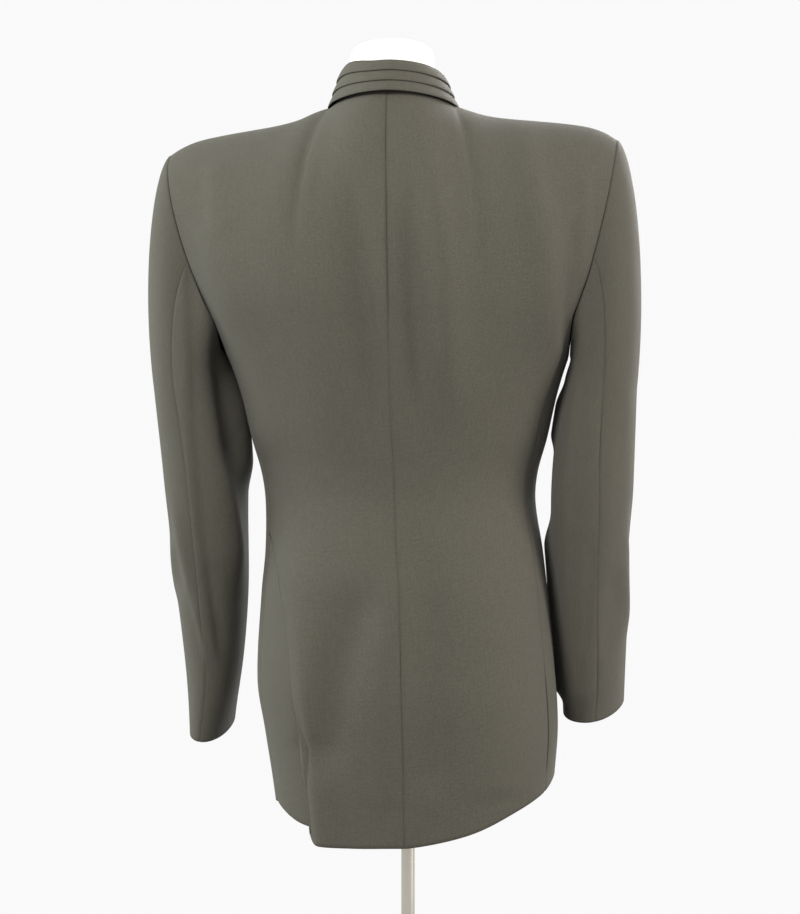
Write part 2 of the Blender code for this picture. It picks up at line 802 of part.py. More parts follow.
def draw_in(outer, inner, edges):
    """Moves the named edges of both grids half a seam gap in, square to each edge."""
    last_row = len(outer) - 1
    last_column = len(outer[0]) - 1
    lines = []
    if "top" in edges:
        lines.append([((last_row, j), (last_row - 1, j)) for j in range(last_column + 1)])
    if "first" in edges:
        lines.append([((i, 0), (i, 1)) for i in range(last_row + 1)])
    if "last" in edges:
        lines.append([((i, last_column), (i, last_column - 1)) for i in range(last_row + 1)])
    moves = []
    for line in lines:
        edge = [outer[i][j] for (i, j), _ in line]
        for index, ((i, j), (k, m)) in enumerate(line):
            along = edge[min(index + 1, len(edge) - 1)] - edge[max(index - 1, 0)]
            along.normalize()
            inward = outer[k][m] - outer[i][j]
            inward -= along * inward.dot(along)
            moves.append((i, j, inward.normalized() * (SEAM_GAP / 2)))
    for i, j, step in moves:
        outer[i][j] = outer[i][j] + step
        inner[i][j] = inner[i][j] + step


def cloth_wall(name, outer, inner, material, collection):
    """The closed solid between two grids of points, with its edges faced all round."""
    rows = len(outer)
    columns = len(outer[0])
    shape = bmesh.new()
    skins = [[[shape.verts.new(p) for p in row] for row in grid] for grid in (outer, inner)]
    top, bottom = skins
    for i in range(rows - 1):
        for j in range(columns - 1):
            corners = ((i, j), (i, j + 1), (i + 1, j + 1), (i + 1, j))
            for first, second, third in ((0, 1, 2), (0, 2, 3)):
                (a, b), (c, d), (e, f) = corners[first], corners[second], corners[third]
                shape.faces.new((top[a][b], top[c][d], top[e][f]))
                shape.faces.new((bottom[e][f], bottom[c][d], bottom[a][b]))
    rim = [(0, j) for j in range(columns - 1)]
    rim += [(i, columns - 1) for i in range(rows - 1)]
    rim += [(rows - 1, j) for j in range(columns - 1, 0, -1)]
    rim += [(i, 0) for i in range(rows - 1, 0, -1)]
    for here, there in zip(rim, rim[1:] + rim[:1]):
        low, high = sorted((here, there), key=lambda spot: outer[spot[0]][spot[1]].z)
        (a, b), (c, d) = low, high
        shape.faces.new((top[a][b], top[c][d], bottom[c][d]))
        shape.faces.new((top[a][b], bottom[c][d], bottom[a][b]))
    bmesh.ops.recalc_face_normals(shape, faces=shape.faces)
    mesh = bpy.data.meshes.new(name)
    shape.to_mesh(mesh)
    shape.free()
    mesh.shade_smooth()
    mesh.set_sharp_from_angle(angle=math.radians(50))
    return place_mesh(name, mesh, material, collection)


def panel(name, rows, edges, material, collection):
    """A cloth piece from rows of points and outward directions."""
    outer = [[point for point, _ in row] for row in rows]
    inner = [[point - normal * CLOTH for point, normal in row] for row in rows]
    draw_in(outer, inner, edges)
    return cloth_wall(name, outer, inner, material, collection)


def add_dress_form(material, collection):
    """The limbless torso with its neck, through its level sections, with flat ends."""
    shape = bmesh.new()
    rings = []
    for ring in FORM:
        verts = []
        for step in range(FORM_STEPS):
            angle = 2 * math.pi * step / FORM_STEPS
            depth = ring.back if math.sin(angle) > 0 else ring.front
            x = ring.x + ring.half_width * arc(math.cos(angle), ring.square)
            y = ring.y + depth * arc(math.sin(angle), ring.square)
            verts.append(shape.verts.new((x, y, ring.z)))
        rings.append(verts)
    for low, high in zip(rings, rings[1:]):
        for j in range(FORM_STEPS):
            k = (j + 1) % FORM_STEPS
            shape.faces.new((low[j], low[k], high[k], high[j]))
    shape.faces.new(reversed(rings[0]))
    shape.faces.new(rings[-1])
    mesh = bpy.data.meshes.new("dress_form")
    shape.to_mesh(mesh)
    shape.free()
    mesh.shade_smooth()
    mesh.set_sharp_from_angle(angle=math.radians(50))
    return place_mesh("dress_form", mesh, material, collection)


def add_cylinder(name, radius, bottom, top, steps, material, collection):
    """An upright cylinder on the axis of the stand."""
    shape = bmesh.new()
    bmesh.ops.create_cone(
        shape,
        cap_ends=True,
        segments=steps,
        radius1=radius,
        radius2=radius,
        depth=top - bottom,
    )
    mesh = bpy.data.meshes.new(name)
    shape.to_mesh(mesh)
    shape.free()
    mesh.shade_smooth()
    mesh.set_sharp_from_angle(angle=math.radians(40))
    cylinder = place_mesh(name, mesh, material, collection)
    cylinder.location.z = (top + bottom) / 2
    return cylinder


def add_stand(material, collection):
    """The round base plate and the pole that carries the form."""
    base = add_cylinder(
        "stand_base", BASE_RADIUS, 0, BASE_THICKNESS, BASE_STEPS, material["base"], collection
    )
    edge = base.modifiers.new("rounded_edge", "BEVEL")
    edge.width = BASE_EDGE
    edge.segments = 2
    edge.limit_method = "ANGLE"
    pole_bottom = BASE_THICKNESS + SEAM_GAP
    pole_top = FORM[0].z - SEAM_GAP
    add_cylinder(
        "stand_pole", POLE_RADIUS, pole_bottom, pole_top, POLE_STEPS, material["pole"], collection
    )


def seat_height(front, centre, facing):
    """How far the front stands out, at most, under a button with this middle and direction."""
    start = BUTTON_RADIUS
    across = facing.cross(UP).normalized()
    along = across.cross(facing)
    heights = []
    for step in range(BUTTON_STEPS):
        angle = 2 * math.pi * step / BUTTON_STEPS
        for radius in (0, BUTTON_RADIUS / 2, BUTTON_RADIUS):
            point = centre + (across * math.cos(angle) + along * math.sin(angle)) * radius
            found, hit, _, _ = front.ray_cast(point + facing * start, -facing)
            heights.append((hit - centre).dot(facing) if found else 0.0)
    return max(heights)


def add_buttons(front, material, collection):
    """Turned buttons with a raised rim, set on the overlap over the centre front."""
    half = BUTTON_THICKNESS / 2
    profile = (
        (0, half - BUTTON_DISH),
        (BUTTON_RADIUS - BUTTON_RIM, half - BUTTON_DISH),
        (BUTTON_RADIUS - BUTTON_CROWN, half),
        (BUTTON_RADIUS - BUTTON_EDGE, half),
        (BUTTON_RADIUS, half - BUTTON_EDGE),
        (BUTTON_RADIUS, BUTTON_EDGE - half),
        (BUTTON_RADIUS - BUTTON_EDGE, -half),
        (0, -half),
    )
    for index, z in enumerate(BUTTON_HEIGHTS):
        name = f"button_{index + 1}"
        mesh = bpy.data.meshes.new(name)
        edges = [(k, k + 1) for k in range(len(profile) - 1)]
        mesh.from_pydata([(radius, 0, height) for radius, height in profile], edges, [])
        button = place_mesh(name, mesh, material, collection)
        turn = button.modifiers.new("turned", "SCREW")
        turn.steps = BUTTON_STEPS
        turn.render_steps = BUTTON_STEPS
        turn.use_merge_vertices = True
        turn.merge_threshold = 1e-5
        surface = front_ring(RIGHT, math.pi, z)
        facing = normal_of(lambda a, b: front_ring(RIGHT, a, b), math.pi, z, RIGHT)
        button.rotation_mode = "QUATERNION"
        button.rotation_quaternion = facing.to_track_quat("Z", "Y")
        button.location = surface + facing * (
            seat_height(front, surface, facing) + SEAM_GAP + half
        )


def cloth_finish(name):
    """The wool of one cloth piece."""
    return finish(name, WOOL, WOOL_ROUGHNESS, 0)


def main():
    for thing in list(bpy.data.objects):
        bpy.data.objects.remove(thing)
    collection = bpy.data.collections.new("blazer_on_dress_form")
    bpy.context.scene.collection.children.link(collection)
    for side in (LEFT, RIGHT):
        hand = SIDE_NAMES[side]
        panels = (
            (f"back_{hand}", back_rows(side), ("first", "last", "top")),
            (f"side_{hand}", side_rows(side), ("first", "last")),
            (f"front_{hand}", front_rows(side), ("first", "top")),
        )
        for name, rows, edges in panels:
            panel(name, rows, edges, cloth_finish(name), collection)
        top, under = sleeve_panels(side)
        for name, rows in ((f"sleeve_top_{hand}", top), (f"sleeve_under_{hand}", under)):
            panel(name, rows, ("first", "last"), cloth_finish(name), collection)
    for index, name in enumerate(BAND_NAMES):
        outer, inner = band_walls(index)
        cloth_wall(name, outer, inner, cloth_finish(name), collection)
    outer, inner = stand_walls()
    cloth_wall("collar_stand", outer, inner, cloth_finish("collar_stand"), collection)
    outer_front = collection.objects[f"front_{SIDE_NAMES[RIGHT]}"]
    add_buttons(outer_front, finish("button", HORN, HORN_ROUGHNESS, 0), collection)
    add_dress_form(finish("dress_form", JERSEY, JERSEY_ROUGHNESS, 0), collection)
    steel = {
        "base": finish("stand_base", BASE_STEEL, BASE_ROUGHNESS, 1),
        "pole": finish("stand_pole", POLE_STEEL, POLE_ROUGHNESS, 1),
    }
    add_stand(steel, collection)


main()
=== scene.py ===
"""A long fitted blazer on a limbless dress form, seen from behind in a plain pale studio.

Metres, +Z up. The wearer faces -Y and the wearer's left is +X. Every panel of cloth is a thin
shell on a surface that is worked out from the sizes below, with its seams, hems and the main
creases of the drape laid on it.
"""

import logging
import math
from dataclasses import dataclass
from enum import Enum
from functools import partial
from typing import Any, Callable, Sequence
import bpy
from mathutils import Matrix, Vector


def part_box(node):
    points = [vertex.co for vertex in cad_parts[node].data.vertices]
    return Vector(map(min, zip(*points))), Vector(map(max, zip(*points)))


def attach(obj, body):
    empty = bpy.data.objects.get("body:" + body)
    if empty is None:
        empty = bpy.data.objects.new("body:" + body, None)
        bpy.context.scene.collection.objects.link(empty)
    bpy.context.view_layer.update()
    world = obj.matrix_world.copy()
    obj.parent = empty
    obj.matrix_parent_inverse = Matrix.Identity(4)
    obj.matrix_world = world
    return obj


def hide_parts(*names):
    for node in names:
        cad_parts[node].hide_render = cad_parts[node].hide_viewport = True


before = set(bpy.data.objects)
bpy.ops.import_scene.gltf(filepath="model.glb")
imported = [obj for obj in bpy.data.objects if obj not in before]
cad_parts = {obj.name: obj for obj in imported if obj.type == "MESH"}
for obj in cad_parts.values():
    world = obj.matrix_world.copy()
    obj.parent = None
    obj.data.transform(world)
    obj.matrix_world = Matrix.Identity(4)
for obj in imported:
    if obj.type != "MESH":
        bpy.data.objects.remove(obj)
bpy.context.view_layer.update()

import bmesh
import bpy
import numpy as np
from mathutils import Matrix, Vector

Grid = np.ndarray
Place = tuple[float, float]
Place3 = tuple[float, float, float]
Colour = tuple[float, float, float, float]

LOG = logging.getLogger("blazer")
BODY = "root"
GRAIN = "grain"  # the UV map of the cloth, in metres along and across its threads
SEAM_SHADE_MASK = "edge"  # the attribute that is 1 on a panel's seams and hems, where the cloth gets a painted shade
UP = np.array((0.0, 0.0, 1.0))
QUARTER = math.pi / 2
FULL_TURN = 2 * math.pi
NUDGE = 1e-3  # the short step that finds the direction of a line or surface
SHARP_RIM = math.radians(35)  # the angle past which a turned piece keeps a crisp line


class Side(Enum):
    """The wearer's left and right, with the sign of X on that side."""

    LEFT = 1
    RIGHT = -1

    @property
    def word(self) -> str:
        """The side's name in a piece's name."""
        return self.name.lower()


class Face(Enum):
    """The way that the cloth of a crease looks: the direction and the two flat coordinates."""

    BACK = ((0.0, 1.0, 0.0), 0)
    FRONT = ((0.0, -1.0, 0.0), 0)
    LEFT = ((1.0, 0.0, 0.0), 1)
    RIGHT = ((-1.0, 0.0, 0.0), 1)


# ---------------- sizes and curves


SEAM_STEPS = (0.003, 0.008, 0.016)  # extra columns beside a seam, as shares of the panel
SEAM_SHADE_REACH = 0.0011  # how far the painted shade along a seam or hem reaches
FULLY_FACING = 0.5  # the cosine past which cloth counts as looking one way
ROUND_EDGE = 0.45  # how far a hem's rounded edge stands out, as a share of the cloth


def smooth(share: Grid) -> Grid:
    """An even S-curve from 0 to 1, flat at both ends."""
    share = np.clip(share, 0.0, 1.0)
    return share * share * (3 - 2 * share)


def blend(start: Any, end: Any, share: Any) -> Any:
    """The value this share of the way from start to end."""
    return start + (end - start) * share


def arc(value: Grid, square: Grid) -> Grid:
    """A signed power that turns a sine or cosine into the side of a squarer ring."""
    return np.sign(value) * np.abs(value) ** (2 / square)


def unit(vectors: Grid) -> Grid:
    """The same vectors with a length of one."""
    length = np.linalg.norm(vectors, axis=-1, keepdims=True)
    return vectors / np.maximum(length, 1e-12)


def stack(x: Any, y: Any, z: Any) -> Grid:
    """Points from three arrays of coordinates, which may be single numbers."""
    return np.stack(np.broadcast_arrays(x, y, z), axis=-1).astype(float)


def cubic(start: Grid, first: Grid, second: Grid, end: Grid, share: Any) -> Grid:
    """Points on the cubic curves with these ends and controls.

    Args:
        start: where each curve starts.
        first: its control beside the start.
        second: its control beside the end.
        end: where it ends.
        share: how far along it each point lies, from 0 to 1.

    Returns:
        The points.
    """
    share = np.asarray(share, float)[..., None]
    rest = 1 - share
    return (
        start * rest**3
        + first * (3 * rest * rest * share)
        + second * (3 * rest * share * share)
        + end * share**3
    )


class Table:
    """A short table of sizes, read on a smooth curve through its rows.

    Args:
        columns: the names of the columns, the first of which is the place.
        rows: one row of numbers for each place, in rising order.
    """

    def __init__(self, columns: str, *rows: Sequence[float]) -> None:
        self.columns = columns.split()
        self.rows = np.array(rows, float)

    def read(self, name: str, place: Any) -> Grid:
        """The named column at these places.

        Args:
            name: the column.
            place: one place or an array of them.

        Returns:
            The values, in the same shape as the places.
        """
        places = self.rows[:, 0]
        values = self.rows[:, self.columns.index(name)]
        place = np.clip(np.asarray(place, float), places[0], places[-1])
        last = len(places) - 1
        index = np.clip(np.searchsorted(places, place, "right") - 1, 0, last - 1)
        before = np.maximum(np.arange(last + 1) - 1, 0)
        after = np.minimum(np.arange(last + 1) + 1, last)
        slopes = (values[after] - values[before]) / (places[after] - places[before])
        span = places[index + 1] - places[index]
        share = (place - places[index]) / span
        rise = values[index + 1] - values[index]
        bend = share * (1 - share) * span
        return (
            values[index]
            + rise * smooth(share)
            + bend * (slopes[index] * (1 - share) - slopes[index + 1] * share)
        )


@dataclass(frozen=True)
class Crease:
    """One soft ridge or trough of the cloth, along a short line.

    Attributes:
        line: two to four points as (across, height), where across is X on the back and the
            front and Y on the sides.
        lift: how far it stands out, or how deep it is where negative.
        width: how far it reaches to either side of the line.
        far_width: how far it reaches on the +across side, where that differs.
        ease: the shares of the line's length over which it fades in and out, centred on the
            line's start and end.
        face: the way that the cloth under it looks.
    """

    line: tuple[Place, ...]
    lift: float
    width: float
    far_width: float = 0.0
    ease: Place = (0.35, 0.35)
    face: Face = Face.BACK

    def over(self, points: Grid, normals: Grid) -> Grid:
        """How far each point of a surface moves out along its normal.

        Args:
            points: the surface's grid of points.
            normals: the surface's outward directions.

        Returns:
            The lifts, one for each point.
        """
        direction, axis = self.face.value
        flat = np.stack((points[..., axis], points[..., 2]), axis=-1)
        knots = np.array(self.line)
        lengths = np.linalg.norm(np.diff(knots, axis=0), axis=1)
        starts = np.concatenate(([0.0], np.cumsum(lengths)))
        nearest = np.full(flat.shape[:-1], np.inf)
        offset = np.zeros_like(nearest)
        along = np.zeros_like(nearest)
        for index, length in enumerate(lengths):
            run = (knots[index + 1] - knots[index]) / length
            way = flat - knots[index]
            place = way @ run
            low = -np.inf if index == 0 else 0.0
            high = np.inf if index == len(lengths) - 1 else length
            off = way - np.clip(place, low, high)[..., None] * run
            distance = np.linalg.norm(off, axis=-1)
            closer = distance < nearest
            nearest = np.where(closer, distance, nearest)
            aside = np.array((run[1], -run[0])) * (1.0 if run[1] >= 0 else -1.0)
            offset = np.where(closer, distance * np.sign(off @ aside), offset)
            along = np.where(closer, (starts[index] + place) / starts[-1], along)
        width = np.where(offset > 0, self.far_width or self.width, self.width)
        fade_in = smooth(along / self.ease[0] + 0.5)
        fade_out = smooth((1 - along) / self.ease[1] + 0.5)
        facing = smooth((normals @ np.array(direction)) / FULLY_FACING)
        return self.lift * np.exp(-((offset / width) ** 2)) * fade_in * fade_out * facing


# ---------------- shells of cloth


def add_object(name: str, mesh: bpy.types.Mesh) -> bpy.types.Object:
    """Puts a mesh in the scene, in its own place.

    Args:
        name: the object's name.
        mesh: its mesh.

    Returns:
        The object, at the origin.
    """
    thing = bpy.data.objects.new(name, mesh)
    bpy.context.scene.collection.objects.link(thing)
    return thing


def report(piece: bpy.types.Object) -> None:
    """Logs a finished piece."""
    LOG.info("%s: %d faces", piece.name, len(piece.data.polygons))


def lay_grain(mesh: bpy.types.Mesh, flat: Grid) -> None:
    """Gives a mesh the UV map of the cloth's grain.

    Args:
        mesh: the mesh.
        flat: where each of its vertices lies on the flat cloth.
    """
    layer = mesh.uv_layers.new(name=GRAIN)
    corners = np.empty(len(mesh.loops), np.int32)
    mesh.loops.foreach_get("vertex_index", corners)
    layer.data.foreach_set("uv", flat[corners].astype(np.float32).reshape(-1))


def tube_faces(stations: int, count: int) -> list[list[int]]:
    """The faces of a closed tube through loops of points.

    Args:
        stations: how many loops there are.
        count: how many points a loop has.

    Returns:
        The corners of its walls and its two end caps.
    """
    number = np.arange(stations * count).reshape(stations, count)
    after = np.roll(number, -1, axis=1)
    walls = np.stack((number[:-1], after[:-1], after[1:], number[1:]), -1)
    return walls.reshape(-1, 4).tolist() + [number[0, ::-1].tolist(), number[-1].tolist()]


def grid_normals(points: Grid, outward: float) -> Grid:
    """The directions square to a grid of points.

    Args:
        points: rows of points.
        outward: 1 or -1, the sign that makes them point out.

    Returns:
        One unit vector for each point.
    """
    along = np.gradient(points, axis=0)
    across = np.gradient(points, axis=1)
    return unit(np.cross(across, along) * outward)


def run_lengths(points: Grid, axis: int) -> Grid:
    """The length of cloth from the first row or column to each point.

    Args:
        points: rows of points.
        axis: 0 to measure along the columns, 1 along the rows.

    Returns:
        The lengths, one for each point.
    """
    steps = np.linalg.norm(np.diff(points, axis=axis), axis=-1)
    total = np.cumsum(steps, axis=axis)
    return np.concatenate((np.zeros_like(total.take([0], axis=axis)), total), axis=axis)


@dataclass
class Edges:
    """How the four edges of a panel are finished: sewn edges dip and hems are rounded.

    Attributes:
        sewn: the names of the sewn edges, out of bottom, top, first and last.
        dip: how deep a seam lies below the cloth.
        reach: how far from a seam the cloth starts to turn down.
    """

    sewn: tuple[str, ...]
    dip: float = 0.0004
    reach: float = 0.0013

    def distances(self, points: Grid) -> dict[str, Grid]:
        """The distance from each edge of a grid to each of its points.

        Args:
            points: rows of points.

        Returns:
            The distances under the name of each edge.
        """
        along = run_lengths(points, 0)
        across = run_lengths(points, 1)
        return {
            "bottom": along,
            "top": along[-1:] - along,
            "first": across,
            "last": across[:, -1:] - across,
        }

    def lower(self, points: Grid) -> Grid:
        """How far each point lies below the plain surface, because of a seam near it.

        Args:
            points: rows of points.

        Returns:
            The depths, one for each point.
        """
        drop = np.zeros(points.shape[:2])
        for name, distance in self.distances(points).items():
            if name in self.sewn:
                drop = np.maximum(drop, self.dip * np.exp(-((distance / self.reach) ** 2)))
        return drop

    def nearness(self, points: Grid, reach: float) -> Grid:
        """1 on any edge of the grid, falling to 0 away from it."""
        nearest = np.min(list(self.distances(points).values()), axis=0)
        return np.exp(-nearest / reach)


class Shell:
    """A closed thin shell of cloth on a grid of points, with rounded edges.

    Args:
        name: the piece's name.
        points: rows of points of the outer skin.
        outward: the sign that makes the grid's own normals point out.
        thickness: how thick the cloth is.
    """

    def __init__(self, name: str, points: Grid, outward: float, thickness: float) -> None:
        self.name = name
        self.points = points
        self.outward = outward
        self.thickness = thickness

    def rim(self) -> list[tuple[int, int]]:
        """The grid's places all round its edge.

        Returns:
            The row and column of each place, in order.
        """
        rows, columns = self.points.shape[:2]
        places = [(0, j) for j in range(columns - 1)]
        places += [(i, columns - 1) for i in range(rows - 1)]
        places += [(rows - 1, j) for j in range(columns - 1, 0, -1)]
        places += [(i, 0) for i in range(rows - 1, 0, -1)]
        return places

    def build(self, edges: Edges) -> bpy.types.Object:
        """Makes the object, with a UV map in metres and a mask of its edges.

        Args:
            edges: how the panel's edges are finished.

        Returns:
            The new object.
        """
        rows, columns = self.points.shape[:2]
        normals = grid_normals(self.points, self.outward)
        outer = self.points.reshape(-1, 3)
        inner = (self.points - normals * self.thickness).reshape(-1, 3)
        number = np.arange(rows * columns).reshape(rows, columns)
        quads = np.stack(
            (number[:-1, :-1], number[:-1, 1:], number[1:, 1:], number[1:, :-1]), -1
        ).reshape(-1, 4)
        if self.outward < 0:
            quads = quads[:, ::-1]
        rim = self.rim()
        middle = []
        for i, j in rim:
            here, normal = self.points[i, j], normals[i, j]
            away = here - self.points[min(max(i, 1), rows - 2), min(max(j, 1), columns - 2)]
            away = away - normal * (away @ normal)
            bulge = away / max(np.linalg.norm(away), 1e-9) * self.thickness * ROUND_EDGE
            middle.append(here - normal * self.thickness / 2 + bulge)
        count = rows * columns
        points = np.concatenate((outer, inner, np.array(middle)))
        faces = quads.tolist() + (quads[:, ::-1] + count).tolist()
        edge = [i * columns + j for i, j in rim]
        for index, start in enumerate(edge):
            following = (index + 1) % len(edge)
            end = edge[following]
            mid, mid_next = 2 * count + index, 2 * count + following
            walls = [[start, mid, mid_next, end], [mid, start + count, end + count, mid_next]]
            faces += walls if self.outward > 0 else [wall[::-1] for wall in walls]
        mesh = bpy.data.meshes.new(self.name)
        mesh.from_pydata(points.tolist(), [], faces)
        mesh.validate()
        self.lay_out(mesh, edges, edge)
        mesh.shade_smooth()
        return add_object(self.name, mesh)

    def lay_out(self, mesh: bpy.types.Mesh, edges: Edges, rim: list[int]) -> None:
        """Adds the UV map along the cloth's grain and the mask of seams and hems.

        Args:
            mesh: the shell's mesh: its outer skin, its inner skin, then its rounded edge.
            edges: how the panel's edges are finished.
            rim: the number of the outer vertex beside each vertex of the rounded edge.
        """
        across = run_lengths(self.points, 1)
        across = across - across[:, across.shape[1] // 2][:, None]
        along = run_lengths(self.points, 0)
        flat = np.stack((across, along), -1).reshape(-1, 2)
        lay_grain(mesh, np.concatenate((flat, flat, flat[rim])))
        near = edges.nearness(self.points, SEAM_SHADE_REACH).reshape(-1)
        near = np.concatenate((near, near, near[rim])).astype(np.float32)
        mask = mesh.attributes.new(SEAM_SHADE_MASK, "FLOAT", "POINT")
        mask.data.foreach_set("value", near)

def crowded(shares: Grid) -> Grid:
    """The same places with more of them close to both ends, where a seam turns the cloth down."""
    near = (shares[-1] - shares[0]) * np.array(SEAM_STEPS)
    return np.unique(np.concatenate((shares, shares[0] + near, shares[-1] - near)))


def drape(points: Grid, outward: float, creases: Sequence[Crease], edges: Edges) -> Grid:
    """The surface with its creases and seams laid on it.

    Args:
        points: rows of points of the plain surface.
        outward: the sign that makes the grid's normals point out.
        creases: the ridges and troughs.
        edges: how the edges are finished.

    Returns:
        The new grid.
    """
    normals = grid_normals(points, outward)
    lift = -edges.lower(points)
    for crease in creases:
        lift = lift + crease.over(points, normals)
    return points + normals * lift[..., None]


# ---------------- the shape of the jacket


@dataclass
class Figure:
    """The surface that the jacket's panels lie on, from the hem to the shoulders.

    Angles run from the centre back (0) past the side to the centre front (pi).

    Attributes:
        levels: the level section at each height: its middle, half widths and depths, and how
            square it is (2 is an ellipse).
        hem: the hem's height at each way round, in quarter turns.
        shoulder: the shoulder seam's height, from the neck (0) to the armhole (1).
        over_back: how far out, and how far below the top edge, the back's cloth comes up.
        over_front: the same for the fronts, from the free edge outwards.
    """

    levels: Table = Table(
        "z centre left right back front square",
        (0.656, -0.0065, 0.1375, 0.1405, 0.116, 0.110, 2.60),
        (0.716, -0.0050, 0.1443, 0.1469, 0.119, 0.113, 2.60),
        (0.765, -0.0040, 0.1515, 0.1515, 0.122, 0.116, 2.50),
        (0.816, -0.0028, 0.1585, 0.1505, 0.124, 0.118, 2.40),
        (0.907, -0.0003, 0.1521, 0.1445, 0.117, 0.110, 2.30),
        (0.950, 0.0025, 0.1456, 0.1425, 0.108, 0.103, 2.25),
        (1.000, 0.0050, 0.1432, 0.1375, 0.099, 0.098, 2.20),
        (1.030, 0.0060, 0.1463, 0.1407, 0.099, 0.101, 2.20),
        (1.065, 0.0072, 0.1550, 0.1515, 0.103, 0.108, 2.30),
        (1.114, 0.0084, 0.1655, 0.1640, 0.111, 0.121, 2.40),
        (1.155, 0.0092, 0.1800, 0.1780, 0.117, 0.128, 2.45),
        (1.190, 0.0100, 0.1980, 0.1935, 0.120, 0.129, 2.50),
    )
    hem: Table = Table(
        "way left right",
        (0.00, 0.6570, 0.6570),
        (0.25, 0.6560, 0.6715),
        (0.50, 0.6610, 0.6910),
        (0.75, 0.6760, 0.7060),
        (1.00, 0.6890, 0.7190),
        (1.50, 0.6960, 0.7130),
        (2.00, 0.6980, 0.6980),
        (2.20, 0.6980, 0.6980),
    )
    shoulder: Table = Table(
        "across left right",
        (0.00, 1.4120, 1.4125),
        (0.10, 1.4065, 1.4060),
        (0.22, 1.3980, 1.4000),
        (0.36, 1.3920, 1.3965),
        (0.52, 1.3875, 1.3940),
        (0.68, 1.3830, 1.3915),
        (0.83, 1.3775, 1.3875),
        (0.93, 1.3705, 1.3815),
        (1.00, 1.3630, 1.3740),
    )
    over_back: Table = Table(
        "way reach drop",
        (0.00, 0.026, 0.040),
        (0.18, 0.058, 0.030),
        (0.30, 0.100, 0.018),
        (0.40, 0.104, 0.014),
        (0.60, 0.094, 0.013),
        (1.00, 0.062, 0.018),
    )
    over_front: Table = Table(
        "way reach drop", (0.00, 0.066, 0.030), (0.50, 0.076, 0.018), (1.00, 0.062, 0.020)
    )
    foot: float = 1.190
    underarm: float = 1.150
    underarm_roundness: float = 0.75
    back_seam: float = math.radians(69)
    front_seam: float = math.radians(112)
    shoulder_centre: float = 0.0150
    tip_left: float = 0.2350
    tip_right: float = 0.2315
    tip_depth: float = -0.004
    nape_height: float = 1.420
    nape_depth: float = 0.072
    neck_half_width: float = 0.0595
    neck_share: float = 0.30
    yoke_rise: float = 0.072
    neck_turn: float = math.radians(12)
    neck_turn_end: float = 0.55
    overlap: float = 0.020
    overlap_lift: float = 0.0026
    overlap_across: Place = (0.2, 0.5)
    overlap_up: Place = (0.5, 0.9)

    def ring(self, side: Side, angle: Any, z: Any) -> Grid:
        """Points of the level sections, which go on past the centre front.

        Args:
            side: the side of the wearer that the angles run round.
            angle: the angles from the centre back.
            z: the heights.

        Returns:
            The points.
        """
        angle, z = np.broadcast_arrays(np.asarray(angle, float), np.asarray(z, float))
        own = angle <= math.pi
        sign = np.where(own, side.value, -side.value)
        angle = np.where(own, angle, FULL_TURN - angle)
        read = self.levels.read
        half_width = np.where(sign > 0, read("left", z), read("right", z))
        depth = np.where(np.cos(angle) > 0, read("back", z), read("front", z))
        square = read("square", z)
        x = read("centre", z) + sign * half_width * arc(np.sin(angle), square)
        return stack(x, depth * arc(np.cos(angle), square), z)

    def hem_height(self, side: Side, angle: Any) -> Grid:
        """The height of the hem at these angles."""
        return self.hem.read(side.word, np.asarray(angle) / QUARTER)

    def shoulder_seam(self, side: Side, across: Any) -> Grid:
        """Points of the shoulder seam.

        Args:
            side: the shoulder.
            across: how far from the side of the neck (0) to the armhole (1) they lie.

        Returns:
            The points.
        """
        tip = self.tip_left if side is Side.LEFT else self.tip_right
        across = np.asarray(across, float)
        reach = blend(self.neck_half_width, tip, across)
        height = self.shoulder.read(side.word, across)
        return stack(self.shoulder_centre + side.value * reach, self.tip_depth * across, height)

    def back_top(self, side: Side, share: Any) -> Grid:
        """Points of the top edge of the back: half of the neckline, then the shoulder seam.

        Args:
            side: the half of the back.
            share: how far from the nape (0) to the armhole (1) they lie.

        Returns:
            The points.
        """
        share = np.asarray(share, float)
        past = np.clip((share - self.neck_share) / (1 - self.neck_share), 0, 1)
        seam = self.shoulder_seam(side, past)
        angle = np.clip(share / self.neck_share, 0, 1) * QUARTER
        neck = self.shoulder_seam(side, 0.0)
        x = blend(self.shoulder_centre, neck[0], np.sin(angle))
        z = blend(neck[2], self.nape_height, np.cos(angle) ** 2)
        round_neck = stack(x, self.nape_depth * np.cos(angle), z)
        return np.where((share > self.neck_share)[..., None], seam, round_neck)

    def yoke(self, start: Callable[[float], Grid], top: Grid, away: Grid, rise: Any) -> Grid:
        """Points of the cloth from the armhole's foot up and over to the shoulder.

        Args:
            start: gives the points of the torso at a height.
            top: where the cloth ends.
            away: how far from there its last control lies.
            rise: how far up it each point lies, from 0 to 1.

        Returns:
            The points.
        """
        foot = start(self.foot)
        climb = (foot - start(self.foot - NUDGE)) / NUDGE * self.yoke_rise
        return cubic(foot, foot + climb, top + away, top, rise)

    def back_yoke(self, side: Side, share: Any, rise: Any) -> Grid:
        """Points of the back above the armhole's foot.

        Args:
            side: the half of the back.
            share: how far from the centre back (0) to the armhole (1) they lie.
            rise: how far up from the foot (0) to the top edge (1) they lie.

        Returns:
            The points.
        """
        share, rise = np.broadcast_arrays(np.asarray(share, float), np.asarray(rise, float))
        reach = self.over_back.read("reach", share)
        drop = self.over_back.read("drop", share)
        near = share / self.neck_share
        far = 1 - smooth((share - self.neck_share) / (self.neck_turn_end - self.neck_share))
        turn = self.neck_turn * np.where(near < 1, near, far)
        away = stack(side.value * reach * np.sin(turn), reach * np.cos(turn), -drop)
        start = partial(self.ring, side, share * self.back_seam)
        return self.yoke(start, self.back_top(side, share), away, rise)

